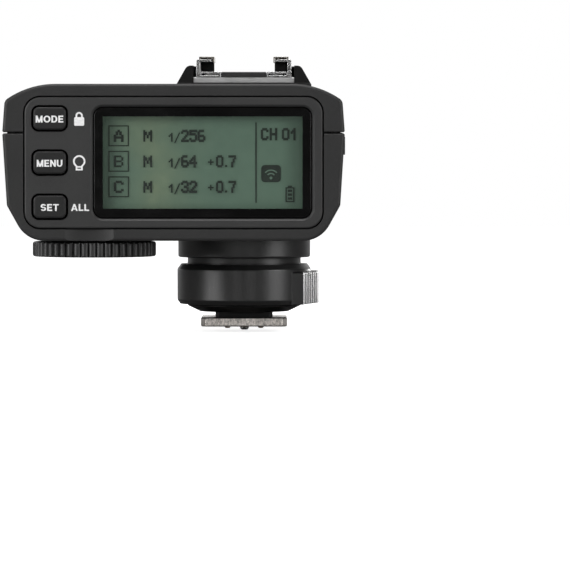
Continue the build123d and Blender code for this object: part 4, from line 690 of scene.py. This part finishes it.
def settle(piece, node, facing):
    """Lays a printed piece on a CAD node's surface, which may slope under it."""
    reach = 5 * MM  # the surface is looked for from this far above the piece
    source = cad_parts[node].data
    tree = BVHTree.FromPolygons([v.co for v in source.vertices], [p.vertices for p in source.polygons])
    out = facing[2]
    height = max(v.co.dot(out) for v in piece.data.vertices)
    base = min(v.co.dot(out) for v in piece.data.vertices)
    for v in piece.data.vertices:
        above = v.co + out * (height - v.co.dot(out) + reach)
        hit = tree.ray_cast(above, -out)[0]
        if hit is not None:
            v.co = hit + out * (PRINT_LIFT + v.co.dot(out) - base)
    piece.data.update()


def icon(name, outlines, node, facing, center, body="casing"):
    """A symbol printed in white, made of flat outlines in millimetres about its own centre."""

    def build(bm):
        for layer, points in enumerate(outlines):
            add_outline(bm, in_metres(points), facing, center, INK_T + layer * LAYER)

    settle(object_from(name, build, finishes["white_ink"], body), node, facing)


def legend(name, words, node, facing, center, size, body="casing"):
    """A word printed in white, size = (width, height) in millimetres, centred on a CAD surface."""
    icon(name, word_outlines(words, *size), node, facing, center, body)


# ---------------------------------------------------------------- legends of the control panel
KEY_WORDS = {"mode_button": ("MODE", 5.8), "menu_button": ("MENU", 5.4), "set_button": ("SET", 3.8)}
CAP_HEIGHT = 1.45
LEGEND_DROP = 0.13 * MM  # the legends sit a little below the keys' middles
ICON_OFFSET = 6.2 * MM  # from a key's middle to the symbol of its second function
ALL_SHIFT = 0.17 * MM
ICON_LINE = 0.36
panel_face_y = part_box("rear_panel")[0].y

for node, (words, width) in KEY_WORDS.items():
    face = Vector((middle(node).x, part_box(node)[0].y, middle(node).z - LEGEND_DROP))
    legend(node + "_legend", words, node, REARWARD, face, (width, CAP_HEIGHT), body=node)


def panel_spot(node, shift=0.0):
    """The place beside a key where its second function is printed."""
    x = middle("mode_button").x + ICON_OFFSET + shift
    return Vector((x, panel_face_y, middle(node).z - LEGEND_DROP))


SHACKLE_R = 0.58
padlock = [
    rounded_rectangle(-1.05, -1.4, 1.05, 0.4, 0.25),
    band([(-SHACKLE_R, 0.3)] + arc(0, 0.72, SHACKLE_R, 180, 0) + [(SHACKLE_R, 0.3)], ICON_LINE),
]
icon("lock_icon", padlock, "rear_panel", REARWARD, panel_spot("mode_button"))

bulb = [
    band(arc(0, 0.4, 1.12, -58, 238, steps=24), ICON_LINE),
    rectangle(-0.74, -1.5, -0.36, -0.5),
    rectangle(0.36, -1.5, 0.74, -0.5),
    rectangle(-0.36, -0.92, 0.36, -0.6),
    rectangle(-0.36, -1.5, 0.36, -1.18),
]
icon("bulb_icon", bulb, "rear_panel", REARWARD, panel_spot("menu_button"))
legend("all_legend", "ALL", "rear_panel", REARWARD, panel_spot("set_button", ALL_SHIFT), (3.8, CAP_HEIGHT))

# ---------------------------------------------------------------- legends of the top keys
TEST_SIZE, GROUP_SIZE = (4.6, 1.7), (1.6, 1.7)

for node in finish_of_node["key"]:
    if node in KEY_WORDS:
        continue
    face = Vector((middle(node).x, middle(node).y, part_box(node)[1].z))
    is_group = node.startswith("group")
    words, size = (node.split("_")[1].upper(), GROUP_SIZE) if is_group else ("TEST", TEST_SIZE)
    legend(node + "_legend", words, node, UPWARD, face, size, body=node)

# ---------------------------------------------------------------- legends of the right wall
SLIDE_TRAVEL = 3.0 * MM
LABEL_DROP = 1.9 * MM  # from the switch knobs' lower edge to their legends
BOLT_OFFSET = 5.2 * MM
wall_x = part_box("power_switch")[1].x
label_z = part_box("power_switch")[0].z - LABEL_DROP
power_y, lamp_y = middle("power_switch").y, middle("lamp_switch").y
jack = middle("sync_jack")


def wall_icon(name, outlines, y, z):
    icon(name, outlines, "bottom_cover", RIGHTWARD, Vector((wall_x, y, z)))


wall_icon("on_legend", word_outlines("ON", 2.3, 1.2), power_y - 0.3 * MM, label_z)
wall_icon("off_legend", word_outlines("OFF", 3.0, 1.2), power_y + SLIDE_TRAVEL + 0.7 * MM, label_z)

BEAM_LENGTH, BEAM_LINE = 1.5, 0.22
beams = [rounded_rectangle(-1.6, -0.6, -0.5, 0.6, 0.3)]
for tilt in (-22, 0, 22):
    turn = math.radians(tilt)
    tip = (BEAM_LENGTH * math.cos(turn), BEAM_LENGTH * math.sin(turn))
    beams.append(band([(0.0, 0.0), tip], BEAM_LINE))
wall_icon("lamp_icon", beams, lamp_y + SLIDE_TRAVEL / 2, label_z - 0.1 * MM)

bolt = [(0.1, 1.1), (-0.7, -0.15), (-0.1, -0.15), (-0.25, -1.1), (0.65, 0.2), (0.05, 0.2)]
wall_icon("sync_icon", [bolt], jack.y + BOLT_OFFSET, jack.z)

# ---------------------------------------------------------------- battery door's arrow
ARROW_DROP = 8.6 * MM  # from the door's top edge to the arrow
door_low, door_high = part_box("battery_door")
arrow_spot = Vector((door_low.x, (door_low.y + door_high.y) / 2, door_high.z - ARROW_DROP))
arrow = [(-1.3, 0.7), (0.0, -0.9), (1.3, 0.7)]
icon("door_arrow", [arrow], "battery_door", LEFTWARD, arrow_spot, body="battery_door")

# ---------------------------------------------------------------- the display's page
# Laid out in millimetres right of and above the top left corner of the window's clear part.
SEGMENT_LIFT = 0.1 * MM
window_low, window_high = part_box("display_window")
page = Vector(
    (window_low.x + WINDOW_BORDER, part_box("lcd_glass")[0].y - SEGMENT_LIFT, window_high.z - WINDOW_BORDER)
)
ROW_PITCH, FIRST_BASE = 5.36, 5.3
LETTER_H, SMALL_H = 2.42, 1.8
GROUP_X, MODE_X, ONE_X, SLASH_X, POWER_X = 2.38, 8.53, 13.85, 15.1, 16.53
PLUS_X, WHOLE_X, POINT_X, TENTHS_X = 22.1, 23.88, 25.7, 26.48
DIGIT_W, POINT_W = 1.46, 0.45
GROUP_BOX = (1.16, -0.98, 5.48, 3.42)  # left, bottom, right and top; upright ones from the row's base
PLUS_Y, PLUS_LINE = 1.05, 0.3
DIVIDER = (32.08, -18.2, 32.36, -1.25)
CHANNEL_BASE, CHANNEL_X, CHANNEL_NUMBER_X, CHANNEL_PITCH = -4.95, 33.33, 37.75, 1.85
BATTERY = (38.42, -18.04, 40.3, -14.9)
BATTERY_LINE, CELL_INSET, CELL_PITCH = 0.26, 0.5, 0.82
BADGE, BADGE_R = (33.3, -13.85, 37.45, -10.2), 0.8
WAVES_X, WAVES_Y = 35.37, -12.95
rows = (("A", "256", None), ("B", "64", "0.7"), ("C", "32", "0.7"))


def add_page_shapes(bm, outlines, lift=0.0):
    """Flat shapes on the display's page."""
    origin = page + Vector((0, -lift, 0))
    for layer, points in enumerate(outlines):
        add_outline(bm, in_metres(points), REARWARD, origin, INK_T + layer * LAYER)


def characters(words, left, base, width, spread, height=LETTER_H, pitch=0.0):
    """Display characters in a row, pitch apart; spread is how far each dot is grown."""
    outlines = []
    for place, letter in enumerate(words):
        outlines += dot_outlines(letter, left + place * pitch, base, width, height, spread)
    return outlines


def exposure_offset(offset, base):
    """A plus sign and a number with one decimal."""
    middle_y, half = base + PLUS_Y, PLUS_LINE / 2
    whole, tenths = offset.split(".")
    return [
        rectangle(PLUS_X, middle_y - half, PLUS_X + 1.2, middle_y + half),
        rectangle(PLUS_X + 0.45, middle_y - 0.6, PLUS_X + 0.75, middle_y + 0.6),
        *characters(whole, WHOLE_X, base, 1.4, spread=0.08),
        rectangle(POINT_X, base, POINT_X + POINT_W, base + POINT_W),
        *characters(tenths, TENTHS_X, base, DIGIT_W, spread=0.075),
    ]


def display_rows(bm):
    """Each group's letter in a box, its mode, its power as a fraction, and its offset."""
    shapes = []
    for number, (group, power, offset) in enumerate(rows):
        base = -FIRST_BASE - number * ROW_PITCH
        left, bottom, right, top = GROUP_BOX
        shapes += frame_strips(left, base + bottom, right, base + top, 0.24)
        shapes += characters(group, GROUP_X, base, 1.9, spread=0.02 if group == "B" else 0.08)
        shapes += characters("M", MODE_X, base, 1.8, spread=0.02)
        shapes += characters("1", ONE_X, base, 1.3, spread=0.04, height=SMALL_H)
        shapes.append(band([(SLASH_X, base - 0.35), (SLASH_X + 1.05, base + SMALL_H + 0.1)], 0.24))
        shapes += characters(power, POWER_X, base, DIGIT_W, spread=0.1, pitch=1.74)
        if offset:
            shapes += exposure_offset(offset, base)
    add_page_shapes(bm, shapes)


def display_side(bm):
    """The channel beside the divider, and the battery symbol with its three bars."""
    shapes = [rectangle(*DIVIDER)]
    for words, left in (("CH", CHANNEL_X), ("01", CHANNEL_NUMBER_X)):
        shapes += characters(words, left, CHANNEL_BASE, 1.42, spread=0.1, pitch=CHANNEL_PITCH)
    left, bottom, right, top = BATTERY
    bar_left, bar_right = left + CELL_INSET, right - CELL_INSET
    shapes += frame_strips(left, bottom, right, top, BATTERY_LINE)
    shapes.append(rectangle(bar_left, top, bar_right, top + 0.34))
    for bar in range(3):
        bar_bottom = bottom + 2 * BATTERY_LINE + CELL_PITCH * bar
        shapes.append(rectangle(bar_left, bar_bottom, bar_right, bar_bottom + 0.5))
    add_page_shapes(bm, shapes)


def wireless_badge(bm):
    """A dark badge for the radio link."""
    add_page_shapes(bm, [rounded_rectangle(*BADGE, BADGE_R)])


def wireless_waves(bm):
    """Plain radio waves above a dot, left light on the badge."""
    waves = [arc(WAVES_X, WAVES_Y, 0.3, 0, 345, 16)]
    for radius in (0.95, 1.65):
        waves.append(band(arc(WAVES_X, WAVES_Y, radius, 42, 138), 0.26))
    add_page_shapes(bm, waves, lift=3 * INK_T)


object_from("display_rows", display_rows, finishes["segments"], "casing")
object_from("display_side", display_side, finishes["segments"], "casing")
object_from("wireless_badge", wireless_badge, finishes["segments"], "casing")
object_from("wireless_waves", wireless_waves, finishes["lcd"], "casing")

# ---------------------------------------------------------------- the shoe's leaf springs
LEAF_T, LEAF_STEPS = 0.1 * MM, 16
LEAF_REACH = 3.5 * MM  # from the rail's outer side to the leaf's inner edge
LEAF_INSET = 0.3 * MM  # of the leaf's ends and outer edge inside the cover spring
LEAF_GAP = 0.01 * MM  # over the rail's lip, at the leaf's ends
COVER_T = 0.27 * MM  # the cover spring's sheet, and a little air


def spring_leaves(bm):
    """A bowed steel leaf between each rail's lip and the cover spring above it."""
    spring_low, spring_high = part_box("shoe_springs")
    rail_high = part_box("shoe_rail_right")[1]
    inner_x, outer_x = rail_high.x - LEAF_REACH, spring_high.x - LEAF_INSET
    leaf_y, leaf_length = spring_low.y + LEAF_INSET, spring_high.y - spring_low.y - 2 * LEAF_INSET
    rise = spring_high.z - COVER_T - LEAF_T - rail_high.z
    for side in (-1, 1):
        ranks = []
        for step in range(LEAF_STEPS + 1):
            share = step / LEAF_STEPS
            y = leaf_y + share * leaf_length
            z = rail_high.z + LEAF_GAP + rise * math.sin(math.pi * share)
            corners = ((inner_x, z), (outer_x, z), (outer_x, z + LEAF_T), (inner_x, z + LEAF_T))
            ranks.append([bm.verts.new((side * x, y, height)) for x, height in corners])
        for here, after in itertools.pairwise(ranks):
            for corner in range(4):
                beyond = (corner + 1) % 4
                bm.faces.new((here[corner], here[beyond], after[beyond], after[corner]))
        bm.faces.new(ranks[0])
        bm.faces.new(ranks[-1])


object_from("shoe_spring_leaves", spring_leaves, finishes["spring"], "casing")

# ---------------------------------------------------------------- stage, light and camera
scene = bpy.context.scene
scene.view_settings.view_transform = "Standard"
scene.view_settings.look = "None"

FLOOR_R, FLOOR_GLOW, FLOOR_BOUNCE, FLOOR_GAP = 1.1, 0.95, 0.3, 0.05 * MM
SKY_REAR, SKY_AHEAD = 0.06, 1.0  # brightness behind the camera, and behind the object
SKY_FADE = (0.6, 0.9)  # between these shares of the way ahead, one turns into the other
floor_z = min(cad_box[0][2], 0.0) - FLOOR_GAP


def floor():
    """A round sheet of white paper under the object."""
    mesh = bpy.data.meshes.new("floor")
    bm = bmesh.new()
    bmesh.ops.create_circle(bm, cap_ends=True, segments=96, radius=FLOOR_R)
    bm.to_mesh(mesh)
    bm.free()
    mesh.materials.append(white_paper())
    sheet = bpy.data.objects.new("floor", mesh)
    sheet.location.z = floor_z
    scene.collection.objects.link(sheet)


def white_paper():
    """Paper that the camera sees as white, and that bounces less light than it seems to."""
    s = Shader("paper_white")
    fibres = s.noise(900, detail=3)
    tint = s.mix(s.remap(fibres, 0.3, 0.7), grey(0.82), grey(0.86))
    seen = s.node("ShaderNodeLightPath").outputs["Is Camera Ray"]
    tint = s.mix(seen, grey(FLOOR_BOUNCE), tint)
    glow = s.math("MULTIPLY", seen, FLOOR_GLOW)
    shine = {"Emission_Color": tint, "Emission_Strength": glow}
    return s.finish(s.surface(Base_Color=tint, Roughness=0.9, Specular_IOR_Level=0.1, **shine))


floor()

world = bpy.data.worlds.new("studio")
scene.world = world
world.use_nodes = True
sky = world.node_tree
sky.nodes.clear()


def sky_node(kind, inputs=None, **settings):
    made = sky.nodes.new(kind)
    for key, value in settings.items():
        setattr(made, key, value)
    for key, value in (inputs or {}).items():
        if isinstance(value, bpy.types.NodeSocket):
            sky.links.new(value, made.inputs[key])
        else:
            made.inputs[key].default_value = value
    return made


# White for the camera; for lighting, bright behind the object and dim behind the camera.
direction = sky_node("ShaderNodeTexCoord").outputs["Generated"]
ahead = sky_node("ShaderNodeSeparateXYZ", {"Vector": direction}).outputs["Y"]
fade = {"From Min": SKY_FADE[0], "From Max": SKY_FADE[1], "To Min": SKY_REAR, "To Max": SKY_AHEAD}
ramp = sky_node("ShaderNodeMapRange", {"Value": ahead, **fade}, interpolation_type="SMOOTHSTEP")
level = ramp.outputs["Result"]
seen = sky_node("ShaderNodeLightPath").outputs["Is Camera Ray"]
power = sky_node("ShaderNodeMix", {0: seen, 2: level, 3: 1.0}, data_type="FLOAT").outputs[0]
glow = sky_node("ShaderNodeBackground", {"Color": (1.0, 1.0, 1.0, 1), "Strength": power}).outputs[0]
sky_node("ShaderNodeOutputWorld", {"Surface": glow})

object_center = (Vector(cad_box[0]) + Vector(cad_box[1])) / 2


def softbox(name, offset, width, height, power):
    """A rectangular soft light at offset from the object's middle, turned to face it."""
    light = bpy.data.lights.new(name, "AREA")
    light.shape = "RECTANGLE"
    light.size, light.size_y = width, height
    light.energy = power
    holder = bpy.data.objects.new(name, light)
    holder.location = object_center + Vector(offset)
    holder.rotation_euler = (-Vector(offset)).to_track_quat("-Z", "Y").to_euler()
    holder.visible_camera = False
    scene.collection.objects.link(holder)
    return holder


softbox("left_softbox", (-0.7, -0.5, 0.22), 0.45, 0.6, 7.5)
softbox("right_softbox", (0.72, -0.46, 0.18), 0.45, 0.6, 5.0)
softbox("top_softbox", (0.0, -0.1, 0.75), 0.5, 0.4, 5.0)
for side in (-1, 1):  # low strips beside the camera, which fill the middle of the round parts
    softbox("front_strip", (0.27 * side, -1.25, 0.035), 0.3, 0.1, 0.5)

# A low light behind the object falls on the lock ring alone, and catches its ribs.
grip_light = softbox("grip_softbox", (0.52, 0.93, 0.02), 0.22, 0.12, 1.6)
lit_by_grip_light = bpy.data.collections.new("lit_by_grip_light")
lit_by_grip_light.objects.link(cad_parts["lock_ring"])
grip_light.light_linking.receiver_collection = lit_by_grip_light

CAMERA_PLACE = Vector((7.77, -1200.0, 46.03)) * MM
CAMERA_AIM = Vector((0.0009, 1.0, -0.0311))  # the way it looks
CAMERA_LENS, SENSOR_WIDTH = 349.4, 36.0

camera_data = bpy.data.cameras.new("camera")
camera_data.lens = CAMERA_LENS
camera_data.sensor_width = SENSOR_WIDTH
camera_data.clip_start, camera_data.clip_end = 0.05, 20.0
camera = bpy.data.objects.new("camera", camera_data)
camera.location = CAMERA_PLACE
camera.rotation_euler = CAMERA_AIM.to_track_quat("-Z", "Y").to_euler()
scene.collection.objects.link(camera)
scene.camera = camera
